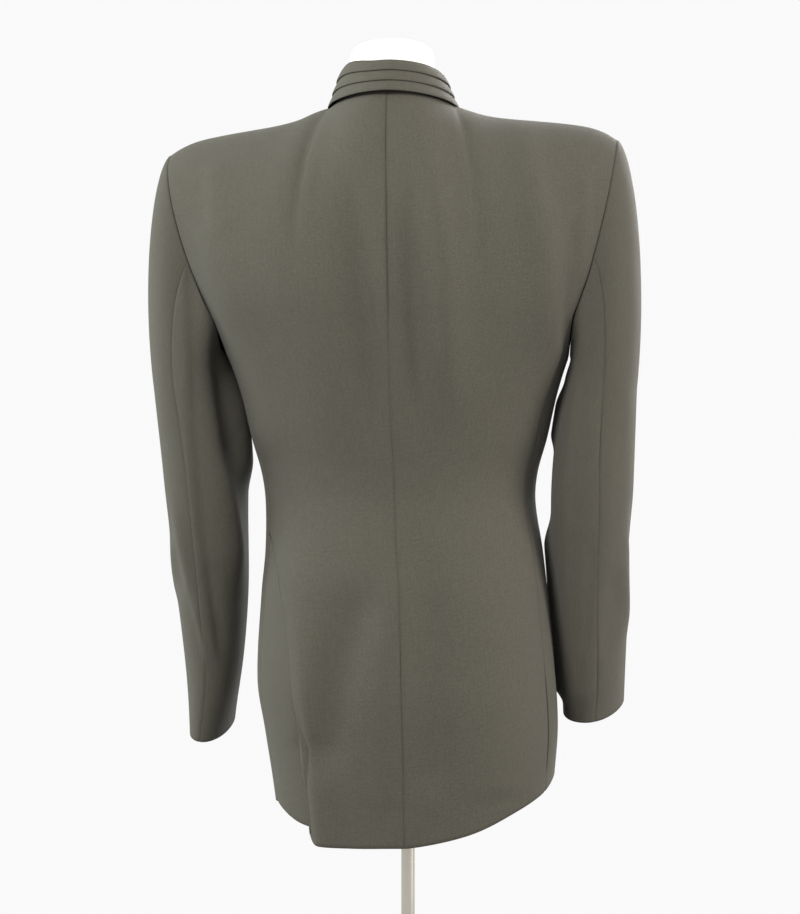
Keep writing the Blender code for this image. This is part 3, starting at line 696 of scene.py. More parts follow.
    def front_edge(self, side: Side, z: Any) -> Grid:
        """The angle of the front's free edge, just past the centre front.

        Args:
            side: the front.
            z: the heights.

        Returns:
            The angles from the centre back.
        """
        other = "right" if side is Side.LEFT else "left"
        square = self.levels.read("square", z)
        return math.pi + np.arcsin((self.overlap / self.levels.read(other, z)) ** (square / 2))

    def lap(self, side: Side, share: Grid, rise: Grid) -> Grid:
        """How far the right front lies out over the left one near its free edge.

        Args:
            side: the front.
            share: how far from its free edge (0) to its seam (1) the points lie.
            rise: how far up the yoke they lie.

        Returns:
            The lifts, which are 0 on the left front.
        """
        if side is Side.LEFT:
            return np.zeros(np.broadcast_shapes(np.shape(share), np.shape(rise)))
        near, far = self.overlap_across
        low, high = self.overlap_up
        across = 1 - smooth((share - near) / (far - near))
        return self.overlap_lift * across * (1 - smooth((rise - low) / (high - low)))

    def front_yoke(self, side: Side, share: Any, rise: Any) -> Grid:
        """Points of the front above the armhole's foot.

        Args:
            side: the front.
            share: how far from its free edge (0) to the armhole (1) they lie.
            rise: how far up from the foot (0) to the shoulder (1) they lie.

        Returns:
            The points.
        """
        share, rise = np.broadcast_arrays(np.asarray(share, float), np.asarray(rise, float))
        angle = blend(self.front_edge(side, self.foot), self.front_seam, share)
        reach = self.over_front.read("reach", share)
        away = stack(0.0, -reach, -self.over_front.read("drop", share))
        start = partial(self.ring, side, angle)
        return self.yoke(start, self.shoulder_seam(side, share), away, rise)

    def side_top(self, share: Any) -> Grid:
        """The height of the armhole's lower edge between the two side seams."""
        curve = np.sin(math.pi * np.asarray(share)) ** self.underarm_roundness
        return self.foot - (self.foot - self.underarm) * curve

    def armhole(self, side: Side, way: Grid) -> Grid:
        """Points of the armhole.

        Args:
            side: the arm.
            way: the way round: 0 at the top, down the back to 1, under to 2, up the front to 3.

        Returns:
            The points.
        """
        back = self.back_yoke(side, 1.0, 1 - np.clip(way, 0, 1))
        under = np.clip(way - 1, 0, 1)
        low = self.ring(side, blend(self.back_seam, self.front_seam, under), self.side_top(under))
        front = self.front_yoke(side, 1.0, np.clip(way - 2, 0, 1))
        return np.where((way < 1)[..., None], back, np.where((way < 2)[..., None], low, front))


@dataclass
class Vent:
    """The free edge of the left back, which stands out over its underlay down to the hem.

    Attributes:
        top: the height where the edge starts to come away, and bottom where it ends.
        at_top: how far round to the side seam it lies there, and at_hem at the hem.
        ease: how fast it gets from one to the other.
        lift: how far the cloth stands out at the most, from lift_end of the way down.
        tuck: how far the underlay goes back beneath the edge.
        tuck_from: the share of the way down where that starts, and over which it grows.
        edge_column: the share of the cloth that lies over.
        tuck_column: the share where the underlay comes out again.
        edge_height: how high the edge lies, as a share of the lift, and tuck_height the
            underlay where it comes out.
        bulge: where the cloth that lies over starts to rise, and over which span.
        settle: the share of the rest over which the cloth comes down to the body.
        underlay_rise: how much higher than the hem the underlay ends.
        corner: the radius of the edge's lower corner, followed up to corner_limit.
        gather: the height over which the fold opens.
        roll: the place on the cloth that lies over where its edge rolls down.
        width: about how wide the cloth that lies over is.
    """

    top: float = 0.965
    bottom: float = 0.656
    at_top: float = 0.985
    at_hem: float = 0.55
    ease: float = 4.2
    lift: float = 0.0062
    lift_end: float = 0.55
    tuck: float = 0.060
    tuck_from: Place = (0.18, 0.45)
    edge_column: float = 0.62
    tuck_column: float = 0.70
    edge_height: float = 0.40
    tuck_height: float = 0.10
    bulge: Place = (0.45, 0.40)
    settle: float = 0.8
    underlay_rise: float = 0.0165
    corner: float = 0.011
    corner_limit: float = 0.995
    gather: float = 0.12
    roll: float = 0.84
    width: float = 0.10

    def place(self, column: Grid, z: Grid) -> tuple[Grid, Grid]:
        """Where a column of the cloth lies.

        Args:
            column: the share of the cloth from the centre back.
            z: its height.

        Returns:
            The share of the way round to the side seam, and how far it stands out.
        """
        down = np.clip((self.top - z) / (self.top - self.bottom), 0, 1)
        edge = blend(self.at_top, self.at_hem, 1 - (1 - down) ** self.ease)
        start, span = self.tuck_from
        tucked = edge - self.tuck * smooth((down - start) / span)
        over = np.clip(column / self.edge_column, 0, 1)
        under = np.clip((column - self.edge_column) / (self.tuck_column - self.edge_column), 0, 1)
        rest = np.clip((column - self.tuck_column) / (1 - self.tuck_column), 0, 1)
        is_over, is_tucked = column <= self.edge_column, column <= self.tuck_column
        beyond = np.where(is_tucked, blend(edge, tucked, under), blend(tucked, 1, rest))
        folded = np.where(is_over, over * edge, beyond)
        start, span = self.bulge
        roll = smooth((over - self.roll) / (1 - self.roll))
        rise = smooth((over - start) / span) * (1 - (1 - self.edge_height) * roll)
        inside = blend(self.edge_height, self.tuck_height, smooth(under))
        settled = self.tuck_height * (1 - smooth(rest / self.settle))
        height = np.where(is_over, rise, np.where(is_tucked, inside, settled))
        lift = self.lift * smooth(down / self.lift_end)
        gather = smooth((self.top + self.gather - z) / self.gather)
        return blend(column, folded, gather), lift * height

    def hem_step(self, column: Grid) -> Grid:
        """How far the hem rises: round the free edge's corner, then at the underlay.

        Args:
            column: the share of the cloth from the centre back.

        Returns:
            The rises.
        """
        inward = (self.edge_column - column) * self.width / self.edge_column
        short = np.clip(1 - inward / self.corner, 0, self.corner_limit)
        round_corner = self.corner * (1 - np.sqrt(1 - short**2))
        under = smooth((column - self.edge_column) / (self.tuck_column - self.edge_column))
        step = blend(self.corner, self.underlay_rise, under)
        return np.where(column <= self.edge_column, round_corner, step)


@dataclass
class Sleeve:
    """A two-piece sleeve: its middle line, sections and cap.

    Attributes:
        sections: the sections down the arm: their middle, half sizes, the way they face and
            how far they are twisted, in degrees.
        cap_fullness: how far the cap rolls out at least.
        cap_start: how much more it does, as a share of the way to the first section.
        cap_end: how straight it comes down to that section, as a share of the same way.
        away_top: the way that the left cap leaves the armhole at its top, and away_under
            under the arm.
        back_quarter: the angle round the sleeve where the armhole's back ends.
        elbow_seam: the back seam's place on the armhole's way round, and front_seam the
            front one's.
        third_columns: the columns for each third of the way round.
    """

    side: Side
    sections: Table
    square: float = 2.15
    gap: float = 0.0006
    cap_fullness: float = 0.006
    cap_start: float = 0.055
    cap_end: float = 0.50
    away_top: Place3 = (0.80, 0.0, -0.50)
    away_under: Place3 = (0.45, 0.0, -0.90)
    back_quarter: float = math.radians(108)
    elbow_seam: float = 0.75
    front_seam: float = 2.0
    cap_rows: int = 30
    rows: int = 112
    third_columns: int = 26

    def axis(self, place: Grid) -> Grid:
        """The direction down the middle line.

        Args:
            place: the places down the arm.

        Returns:
            One unit vector for each place.
        """
        ends = []
        for shift in (NUDGE, -NUDGE):
            at = np.clip(place + shift, 0, self.sections.rows[-1, 0])
            ends.append(stack(*(self.sections.read(name, at) for name in "xyz")))
        return unit(ends[0] - ends[1])

    def point(self, place: Any, angle: Any) -> Grid:
        """Points of the sections, square to the bent middle line.

        Args:
            place: the places down the arm.
            angle: the angles round it, from the outer side backwards.

        Returns:
            The points.
        """
        place, angle = np.broadcast_arrays(np.asarray(place, float), np.asarray(angle, float))
        read = self.sections.read
        angle = angle + np.radians(read("twist", place))
        axis = self.axis(place)
        turn = np.radians(read("turn", place))
        outward = stack(self.side.value * np.cos(turn), np.sin(turn), 0.0)
        outward = unit(outward - axis * np.sum(outward * axis, axis=-1, keepdims=True))
        backward = np.cross(axis, outward) * -self.side.value
        wide = (read("half_width", place) * arc(np.cos(angle), self.square))[..., None]
        deep = (read("half_depth", place) * arc(np.sin(angle), self.square))[..., None]
        middle = stack(*(read(name, place) for name in "xyz"))
        return middle + outward * wide + backward * deep

    def angle(self, way: Grid) -> Grid:
        """The angle round the sleeve for each place round the armhole."""
        front_quarter = FULL_TURN - self.back_quarter
        return np.interp(way, (0, 1, 2, 3), (0, self.back_quarter, front_quarter, FULL_TURN))

    def grid(self, figure: Figure, way: Grid) -> Grid:
        """The rows of outer points from the armhole down to the cuff.

        Args:
            figure: the jacket's body, whose armhole the sleeve is set into.
            way: the places round the armhole, one for each column.

        Returns:
            The grid of points.
        """
        wrapped = np.mod(way, 3.0)
        angle = self.angle(wrapped)
        start = figure.armhole(self.side, wrapped)
        start = start + np.array((self.side.value * self.gap, 0, 0))
        end = self.point(0.0, angle)
        distance = np.linalg.norm(end - start, axis=-1, keepdims=True)
        under = ((1 - np.cos(angle)) / 2)[..., None]
        away = blend(np.array(self.away_top), np.array(self.away_under), under)
        away = away * np.array((self.side.value, 1, 1))
        first = start + away * (self.cap_fullness + self.cap_start * distance)
        second = end - self.axis(np.zeros_like(angle)) * (self.cap_end * distance)
        share = (np.arange(self.cap_rows) / self.cap_rows)[:, None]
        cap = cubic(start[None], first[None], second[None], end[None], share)
        place = np.linspace(0, self.sections.rows[-1, 0], self.rows + 1)[:, None]
        return np.concatenate((cap, self.point(place, angle[None])))

    def panels(self, figure: Figure) -> dict[str, Grid]:
        """The grids of the outer and the inner half.

        Args:
            figure: the jacket's body.

        Returns:
            The grids under the names of the halves.
        """
        grids = {}
        for part, start, end in (
            ("sleeve_top", self.front_seam, 3 + self.elbow_seam),
            ("sleeve_under", self.elbow_seam, self.front_seam),
        ):
            step = 1.0 / self.third_columns
            way = np.arange(start, end + step / 2, step)
            way[-1] = end
            grids[part] = self.grid(figure, crowded(way))
        return grids


@dataclass
class Cut:
    """The flat size in metres of what shows of a panel, its width across the grain."""

    width: float
    length: float
    area: float


@dataclass
class Jacket:
    """The blazer's panels of cloth and their creases.

    Attributes:
        vent_columns: the columns of the left back: over, under and beyond its free edge.
        front_hem: the height that the fronts' free edge starts from.
        underlay_end: the share of the left side panel over which its hem is raised.
    """

    finish: bpy.types.Material
    figure: Figure
    vent: Vent
    creases: dict[str, tuple[Crease, ...]]
    cuts: dict[str, Cut]
    thickness: float = 0.0014
    torso_rows: int = 132
    yoke_rows: int = 60
    across: int = 56
    vent_columns: tuple[int, int, int] = (33, 8, 17)
    side_columns: int = 26
    front_hem: float = 0.70
    underlay_end: float = 0.5

    def rises(self) -> tuple[Grid, Grid]:
        """The rows' shares of the way up the torso, and up the yoke above it."""
        torso = np.arange(self.torso_rows) / self.torso_rows
        return torso[:, None], np.linspace(0, 1, self.yoke_rows + 1)[:, None]

    def back(self, side: Side) -> Grid:
        """The rows of points of this half of the back."""
        figure = self.figure
        climb, rise = self.rises()
        if side is Side.LEFT:
            column, torso = self.vented_torso(climb)
        else:
            column = crowded(np.linspace(0, 1, self.across + 1))[None]
            angle = column * figure.back_seam
            z = blend(figure.hem_height(side, angle), figure.foot, climb)
            torso = figure.ring(side, angle, z)
        return np.concatenate((torso, figure.back_yoke(side, column, rise)))

    def vented_torso(self, climb: Grid) -> tuple[Grid, Grid]:
        """The lower part of the left back, with its free edge.

        Args:
            climb: the rows' shares of the way up.

        Returns:
            The columns' shares of the cloth, and the grid of points.
        """
        figure, vent, side = self.figure, self.vent, Side.LEFT
        places = (0, vent.edge_column, vent.tuck_column, 1)
        runs = zip(places, places[1:], self.vent_columns)
        near = [np.linspace(start, end, count + 1) for start, end, count in runs]
        column = crowded(np.unique(np.concatenate(near)))[None]
        low, _ = vent.place(column, np.full_like(column, vent.bottom))
        hem = figure.hem_height(side, low * figure.back_seam) + vent.hem_step(column)
        z = blend(hem, figure.foot, climb)
        share, lift = vent.place(np.broadcast_to(column, z.shape), z)
        torso = figure.ring(side, share * figure.back_seam, z)
        plain = figure.ring(side, column * figure.back_seam, z)
        return column, torso + grid_normals(plain, -side.value) * lift[..., None]

    def front(self, side: Side) -> Grid:
        """The rows of points of this front, from the side seam to its free edge."""
        figure = self.figure
        share = crowded(np.linspace(0, 1, self.across + 1))[None, ::-1]
        climb, rise = self.rises()
        level = blend(self.front_hem, figure.foot, climb)
        angle = blend(figure.front_edge(side, level), figure.front_seam, share)
        z = blend(figure.hem_height(side, angle), figure.foot, climb)
        torso = figure.ring(side, angle, z)
        points = np.concatenate((torso, figure.front_yoke(side, share, rise)))
        lap = figure.lap(side, share, np.concatenate((np.zeros_like(climb), rise)))
        return points + grid_normals(points, -side.value) * lap[..., None]

    def side_panel(self, side: Side) -> Grid:
        """The rows of points of this side panel, up to the foot of the armhole."""
        figure = self.figure
        share = crowded(np.linspace(0, 1, self.side_columns + 1))[None]
        angle = blend(figure.back_seam, figure.front_seam, share)
        hem = figure.hem_height(side, angle)
        if side is Side.LEFT:
            hem = hem + self.vent.underlay_rise * (1 - smooth(share / self.underlay_end))
        climb = np.linspace(0, 1, self.torso_rows + 1)[:, None]
        return figure.ring(side, angle, blend(hem, figure.side_top(share), climb))

    def add(self, node: str, side: Side, points: Grid, sewn: tuple[str, ...]) -> None:
        """Makes one panel, hangs it under the body and hides the solid that it stands for.

        Args:
            node: the solid that it stands for, and the key of its creases.
            side: the wearer's side that it is on.
            points: its plain grid.
            sewn: the edges of the grid that are sewn.
        """
        outward, edges = -side.value, Edges(sewn)
        surface = drape(points, outward, self.creases.get(node, ()), edges)
        piece = Shell(f"{node}_cloth", surface, outward, self.thickness).build(edges)
        piece.data.materials.append(self.finish)
        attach(piece, BODY)
        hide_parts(node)
        report(piece)

    def build(self, sleeves: Sequence[Sleeve]) -> None:
        """Makes all panels of the body and the sleeves.

        Args:
            sleeves: the two sleeves.
        """
        for side in Side:
            word = side.word
            self.add(f"back_{word}", side, self.back(side), ("top", "first", "last"))
            self.add(f"side_{word}", side, self.side_panel(side), ("top", "first", "last"))
            self.add(f"front_{word}", side, self.front(side), ("top", "first"))
        for sleeve in sleeves:
            for part, points in sleeve.panels(self.figure).items():
                node = f"{part}_{sleeve.side.word}"
                self.add(node, sleeve.side, points, ("bottom", "first", "last"))


# ---------------- the collar


@dataclass
class Collar:
    """The low stand and its three overlapping bands, which run down the V in front.

    Ways run from the nape (0) round the neck and down the V to the top button (1).

    Attributes:
        roll: how high the collar stands and leans in, and how far its outer edge reaches out
            and rises, along the way.
        side_way: the way to the side of the neck.
        fuller_rise: how much higher it stands beside the neck, over fuller_span.
        fuller_fade: the way over which that comes and goes.
        turn: the way over which the collar turns from standing to lying.
        band_proud: how far the lowest band lies out.
        band_tuck: the share of the fall that each band goes up under the next.
        band_outer: a band's outer skin, as (share down it, share of its thickness), and
            band_inner its inner skin, back up.
        ease: how far the stand's bottom edge lies from its seam.
        set_back: how far the stand lies inside the fold, as a share of a band.
        stand_heights: the places of its points, as shares of the way up.
        crown: the places across its rounded top edge, as shares of its thickness.
    """

    figure: Figure
    finish: bpy.types.Material
    roll: Table = Table(
        "way stand lean reach rise",
        (0.00, 0.0285, 0.0040, 0.0105, -0.0045),
        (0.20, 0.0285, 0.0045, 0.0092, -0.0048),
        (0.35, 0.0270, 0.0060, 0.0078, -0.0045),
        (0.45, 0.0210, 0.0050, 0.0120, 0.0010),
        (0.60, 0.0090, 0.0020, 0.0230, 0.0034),
        (0.80, 0.0042, 0.0000, 0.0230, 0.0034),
        (1.00, 0.0034, 0.0000, 0.0180, 0.0034),
    )
    side_way: float = 0.35
    fuller_rise: tuple[tuple[Side, float], ...] = ((Side.LEFT, 0.0062), (Side.RIGHT, 0.0008))
    fuller_span: Place = (0.04, 0.30)
    fuller_fade: float = 0.17
    turn: float = 0.15
    end_left: float = 0.74
    end_right: float = 0.97
    stand_end: float = 0.52
    stand_thickness: float = 0.0015
    band_count: int = 3
    band_thickness: float = 0.0013
    band_proud: float = 0.0019
    band_gap: float = 0.0003
    band_tuck: float = 0.07
    band_outer: tuple[Place, ...] = (
        *((0.0, 0.20), (0.12, 0.62), (0.30, 0.92), (0.55, 1.0)),
        *((0.78, 1.0), (0.92, 0.86), (0.99, 0.52)),
    )
    band_inner: tuple[Place, ...] = (
        *((1.0, 0.10), (0.93, -0.12), (0.78, -0.12), (0.45, -0.12), (0.10, -0.12)),
    )
    ease: float = 0.0004
    set_back: float = 0.6
    stand_heights: tuple[float, ...] = (0.0, 0.25, 0.5, 0.75, 0.93)
    crown: Place = (0.2, 0.8)
    stations: int = 90

    def neckline(self, side: Side, way: float) -> tuple[Grid, Grid, Grid]:
        """The seam where the collar joins.

        Args:
            side: the side of the neck.
            way: how far along the collar.

        Returns:
            The point, and the outward and upward directions there.
        """
        figure = self.figure
        if way <= self.side_way:
            share = way / self.side_way
            point = figure.back_top(side, share * figure.neck_share)
            angle = share * QUARTER
            return point, np.array((side.value * math.sin(angle), math.cos(angle), 0.0)), UP
        rise = 1 - (way - self.side_way) / (1 - self.side_way)
        edge = partial(figure.front_yoke, side, 0.0)
        point = edge(rise)
        out = unit(figure.front_yoke(side, NUDGE, rise) - point)
        run = edge(min(rise + NUDGE, 1.0)) - edge(rise - NUDGE)
        normal = unit(np.cross(out, run) * side.value)
        point = point + normal * figure.lap(side, np.array(0.0), np.array(rise))
        turned = smooth(np.array((way - self.side_way) / self.turn))
        return point, out, unit(blend(UP, normal, turned))

    def fuller(self, way: float) -> float:
        """1 beside the neck, where the collar stands fuller, and 0 behind and in front of it."""
        begun, ended = ((way - place) / self.fuller_fade for place in self.fuller_span)
        return float(smooth(begun) - smooth(ended))

    def sections(self, end_left: float, end_right: float) -> tuple[Grid, ...]:
        """The lines that the collar is made from.

        Args:
            end_left: the way to the end on the left.
            end_right: the way to the end on the right.

        Returns:
            The foot, fold and outer edge, and the outward and facing directions.
        """
        ways = [(Side.RIGHT, end_right * (1 - s / self.stations)) for s in range(self.stations)]
        ways += [(Side.LEFT, end_left * s / self.stations) for s in range(self.stations + 1)]
        fuller_rise = dict(self.fuller_rise)
        lines = []
        for side, way in ways:
            foot, out, up = self.neckline(side, way)
            read = partial(self.roll.read, place=way)
            height = read("stand") + fuller_rise[side] * self.fuller(way)
            fold = foot + up * height - out * read("lean")
            lines.append((foot, fold, foot + out * read("reach") + up * read("rise"), out))
        foot, fold, rim, out = (np.array(line) for line in zip(*lines))
        face = unit(np.cross(np.gradient(fold + rim, axis=0), rim - fold))
        return foot, fold, rim, out, face

    def sweep(self, node: str, loops: Grid) -> None:
        """Makes a closed piece through one loop of points at each station along the collar.

        Args:
            node: the solid that it stands for.
            loops: the loops of points.
        """
        mesh = bpy.data.meshes.new(f"{node}_cloth")
        mesh.from_pydata(loops.reshape(-1, 3).tolist(), [], tube_faces(*loops.shape[:2]))
        shape = bmesh.new()
        shape.from_mesh(mesh)
        bmesh.ops.recalc_face_normals(shape, faces=shape.faces)
        shape.to_mesh(mesh)
        shape.free()
        flat = np.stack((run_lengths(loops, 0), run_lengths(loops, 1)), -1)
        lay_grain(mesh, flat.reshape(-1, 2))
        mesh.attributes.new(SEAM_SHADE_MASK, "FLOAT", "POINT")
        mesh.shade_smooth()
        piece = add_object(mesh.name, mesh)
        mesh.materials.append(self.finish)
        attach(piece, BODY)
        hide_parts(node)
        report(piece)

    def build(self, cuts: dict[str, Cut]) -> None:
        """Makes the three bands and the stand.

        Args:
            cuts: the flat size of each piece; not used.
        """
        _, fold, rim, _, face = self.sections(self.end_left, self.end_right)
        rise = self.band_count * (self.band_thickness + self.band_gap)
        for index, word in enumerate(("upper", "middle", "lower")):
            node = f"collar_band_{word}"
            upper = index / self.band_count - (self.band_tuck if index else 0.0)
            lower = (index + 1) / self.band_count
            loops = []
            for down, thick in self.band_outer + self.band_inner:
                share = blend(upper, lower, down)
                sunk = rise * (lower - share) + self.band_thickness * (1 - thick)
                loops.append(blend(fold, rim, share) + face * (self.band_proud - sunk))
            self.sweep(node, np.stack(loops, axis=1))
        self.build_stand()

    def build_stand(self) -> None:
        """Makes the stand, with its rounded top edge against the upper band.
        """
        foot, fold, _, out, face = self.sections(self.stand_end, self.stand_end)
        climb = unit(fold - foot)
        bottom = foot + climb * self.ease
        top = fold - face * self.band_thickness * self.set_back + climb * self.ease * 1.5
        skin = out * self.stand_thickness
        outer = [blend(bottom, top, share) for share in self.stand_heights]
        crown = [top - skin * share + climb * self.ease for share in self.crown]
        inner = [line - skin for line in reversed(outer)]
        loops = np.stack(outer + crown + inner, axis=1)
        self.sweep("collar_stand", loops)


# ---------------- finishes


class Nodes:
    """A node tree under construction.

    Args:
        tree: the tree.
    """

    def __init__(self, tree: bpy.types.NodeTree) -> None:
        self.tree = tree

    def node(self, kind: str, settings: dict[str, Any], inputs: dict[Any, Any]) -> bpy.types.Node:
        """Adds a node.

        Args:
            kind: the node's type.
            settings: its properties, set first.
            inputs: values or links for its sockets.

        Returns:
            The node.
        """
        node = self.tree.nodes.new(kind)
        for key, value in settings.items():
            setattr(node, key, value)
        for key, value in inputs.items():
            self.feed(node.inputs[key], value)
        return node

    def feed(self, socket: bpy.types.NodeSocket, value: Any) -> None:
        """Links a value to a socket, or sets it.

        Args:
            socket: the input socket.
            value: a value or an output socket to link, or what to set.
        """
        if isinstance(value, Value):
            value = value.socket
        if isinstance(value, bpy.types.NodeSocket):
            self.tree.links.new(value, socket)
        else:
            socket.default_value = value


class Value:
    """A shader socket that takes part in sums.

    Args:
        recipe: the material under construction.
        socket: the output socket.
    """

    def __init__(self, recipe: "Recipe", socket: bpy.types.NodeSocket) -> None:
        self.recipe = recipe
        self.socket = socket

    def combine(self, operation: str, first: Any, second: Any) -> "Value":
        """A Math node on two values or numbers."""
        node = self.recipe.node("ShaderNodeMath", {"operation": operation}, {0: first, 1: second})
        return Value(self.recipe, node.outputs[0])

    def __add__(self, other: Any) -> "Value":
        """Sum."""
        return self.combine("ADD", self, other)

    __radd__ = __add__

    def __sub__(self, other: Any) -> "Value":
        """Difference."""
        return self.combine("SUBTRACT", self, other)

    def __rsub__(self, other: Any) -> "Value":
        """Difference from a number."""
        return self.combine("SUBTRACT", other, self)

    def __mul__(self, other: Any) -> "Value":
        """Product."""
        return self.combine("MULTIPLY", self, other)

    __rmul__ = __mul__

    def waves(self, length: float) -> "Value":
        """A sine that repeats each time the value has grown by this length."""
        return self.combine("SINE", self * (FULL_TURN / length), 0.0)


class Recipe(Nodes):
    """A material under construction.

    Args:
        name: the material's name.
    """

    def __init__(self, name: str) -> None:
        self.material = bpy.data.materials.new(name)
        self.material.use_nodes = True
        super().__init__(self.material.node_tree)
        self.shader = self.tree.nodes["Principled BSDF"]

    def noise(self, vector: Any, scale: float, detail: float = 2.0) -> Value:
        """Cloudy noise from about 0 to 1.

        Args:
            vector: the coordinates that it follows.
            scale: how many clouds there are to a unit of them.
            detail: how many finer layers it has.

        Returns:
            The noise.
        """
        inputs = {"Vector": vector, "Scale": scale, "Detail": detail}
        node = self.node("ShaderNodeTexNoise", {"noise_dimensions": "3D"}, inputs)
        return Value(self, node.outputs["Fac"])

    def streaks(self, vector: Any, scale: Place3, detail: float = 2.0) -> Value:
        """Noise that is drawn out."""
        stretched = self.node("ShaderNodeMapping", {}, {0: vector, "Scale": scale})
        return self.noise(stretched.outputs[0], 1.0, detail)

    def mix(self, share: Any, first: Any, second: Any) -> bpy.types.NodeSocket:
        """A colour between two colours."""
        node = self.node("ShaderNodeMix", {"data_type": "RGBA"}, {0: share, 6: first, 7: second})
        return node.outputs[2]

    def place(self) -> bpy.types.NodeSocket:
        """The object's own coordinates, in metres."""
        return self.node("ShaderNodeTexCoord", {}, {}).outputs["Object"]

    def split(self, vector: Any) -> tuple[Value, ...]:
        """The three coordinates of a vector."""
        node = self.node("ShaderNodeSeparateXYZ", {}, {0: vector})
        return tuple(Value(self, socket) for socket in node.outputs)

    def surface(self, colour: Any, roughness: Any) -> None:
        """Feeds the shader's colour and roughness."""
        self.feed(self.shader.inputs["Base Color"], colour)
        self.feed(self.shader.inputs["Roughness"], roughness)

    def bump(self, height: Value, distance: float, strength: float) -> None:
        """Feeds the shader's normal.

        Args:
            height: the relief.
            distance: how high 1 of it is, in metres.
            strength: how much of it shows.
        """
        inputs = {"Height": height, "Distance": distance, "Strength": strength}
        node = self.node("ShaderNodeBump", {}, inputs)
        self.feed(self.shader.inputs["Normal"], node.outputs["Normal"])

    def constants(self, **values: float) -> None:
        """Sets numbers on the shader itself; an underscore stands for a space."""
        for key, value in values.items():
            self.shader.inputs[key.replace("_", " ")].default_value = value


@dataclass(frozen=True)
class Finish:
    """A finish that wanders between a lighter and a darker colour.

    Attributes:
        name: the material's name.
        light: its lighter colour.
        dark: its darker colour.
        roughness: the roughness where it is smoothest.
        relief: how high its relief is, in metres.
    """

    name: str
    light: Colour
    dark: Colour
    roughness: float
    relief: float

    def make(self) -> bpy.types.Material:
        """Makes the material.

        Returns:
            The material.
        """
        recipe = Recipe(self.name)
        self.lay(recipe)
        return recipe.material

    def lay(self, recipe: Recipe) -> None:
        """Adds the finish's own nodes to the material."""
        raise NotImplementedError


@dataclass(frozen=True)
class WoolFinish(Finish):
    """Fine worsted in a small twill, with mixed fibres and a painted shade along its seams and
    hems.

    Attributes:
        seam: the darker colour that the cloth tends to along a seam or hem, a painted shade.
        seam_shade_share: how far it does.
        twill: the step of the twill's ribs.
        thread: the step of the threads.
        fibres: the scale of the mixed fibres.
        mottle: the scale of their uneven dye.
        clouds: the scale of its slow changes over a panel.
        slubs: the scales across and along the cloth of its thick threads.
        streaks: the same of its upright streaks.
        ground: the tone that is taken off the sum.
    """

    name: str = "grey_olive_wool"
    light: Colour = (0.0605, 0.0570, 0.0448, 1)
    dark: Colour = (0.0362, 0.0339, 0.0260, 1)
    roughness: float = 0.72
    relief: float = 0.00007
    seam: Colour = (0.027, 0.0260, 0.0200, 1)
    seam_shade_share: float = 0.34
    twill: float = 0.0007
    thread: float = 0.00035
    fibres: float = 900.0
    mottle: float = 420.0
    clouds: float = 7.0
    slubs: Place3 = (70, 520, 1)
    streaks: Place3 = (520, 50, 1)
    ground: float = 0.98

    def lay(self, recipe: Recipe) -> None:
        """Adds the twill, the fibres and the painted shade along the seams and hems."""
        grain = recipe.node("ShaderNodeUVMap", {"uv_map": GRAIN}, {}).outputs[0]
        across, along, _ = recipe.split(grain)
        twill = (across + along).waves(self.twill)
        warp, weft = across.waves(self.thread), along.waves(self.thread)
        fibre = recipe.noise(grain, self.fibres, 3.0)
        slub, streak = (recipe.streaks(grain, scale) for scale in (self.slubs, self.streaks))
        mottle = recipe.noise(grain, self.mottle)
        cloud = recipe.noise(recipe.place(), self.clouds)
        threads = twill * 0.14 + fibre * 0.85 + slub * 0.42 + streak * 0.50
        tone = threads + mottle * 0.95 + cloud * 0.25 - self.ground
        shade = recipe.mix(tone, self.dark, self.light)
        # painted shade: near each seam and hem the colour is drawn towards the darker seam colour
        edge = recipe.node("ShaderNodeAttribute", {"attribute_name": SEAM_SHADE_MASK}, {}).outputs["Fac"]
        colour = recipe.mix(Value(recipe, edge) * self.seam_shade_share, shade, self.seam)
        recipe.surface(colour, fibre * 0.12 + self.roughness)
        relief = twill * 0.5 + warp * 0.25 + weft * 0.25 + fibre * 1.2 + mottle * 2.5
        recipe.bump(relief, self.relief, 0.9)
        recipe.constants(Sheen_Weight=0.05, Sheen_Roughness=0.50, Specular_IOR_Level=0.16)


@dataclass(frozen=True)
class JerseyFinish(Finish):
    """The form's smooth stretched cover.

    Attributes:
        rib: the step of its ribs.
        fibres: the scale of its fibres.
        clouds: the scale of its slow changes.
    """

    name: str = "off_white_jersey"
    light: Colour = (0.70, 0.695, 0.68, 1)
    dark: Colour = (0.63, 0.62, 0.60, 1)
    roughness: float = 0.62
    relief: float = 0.00008
    rib: float = 0.0011
    fibres: float = 700.0
    clouds: float = 9.0

    def lay(self, recipe: Recipe) -> None:
        """Adds the fine ribs and the fibres."""
        place = recipe.place()
        _, _, height = recipe.split(place)
        ribs = height.waves(self.rib)
        fibre = recipe.noise(place, self.fibres, 3.0)
        cloud = recipe.noise(place, self.clouds)
        colour = recipe.mix(fibre * 0.5 + cloud * 0.5, self.dark, self.light)
        recipe.surface(colour, fibre * 0.2 + self.roughness)
        recipe.bump(ribs * 0.5 + fibre, self.relief, 0.7)
        recipe.constants(Sheen_Weight=0.10, Specular_IOR_Level=0.3)


@dataclass(frozen=True)
class SteelFinish(Finish):
    """Satin steel with fine turning lines and a few handling marks.

    Attributes:
        stretch: the scales of its lines on X, Y and Z.
        marks: the scale of its handling marks.
    """

    name: str = "brushed_steel"
    light: Colour = (0.54, 0.510, 0.445, 1)
    dark: Colour = (0.39, 0.365, 0.315, 1)
    roughness: float = 0.16
    relief: float = 0.00003
    stretch: Place3 = (40, 900, 40)
    marks: float = 14.0

    def lay(self, recipe: Recipe) -> None:
        """Adds the lines and the marks."""
        place = recipe.place()
        lines = recipe.streaks(place, self.stretch, 3.0)
        marks = recipe.noise(place, self.marks, 3.0)
        colour = recipe.mix(lines * 0.7 + marks * 0.3, self.dark, self.light)
        recipe.surface(colour, lines * 0.12 + marks * 0.12 + self.roughness)
        recipe.bump(lines, self.relief, 0.5)
        recipe.constants(Metallic=1.0)


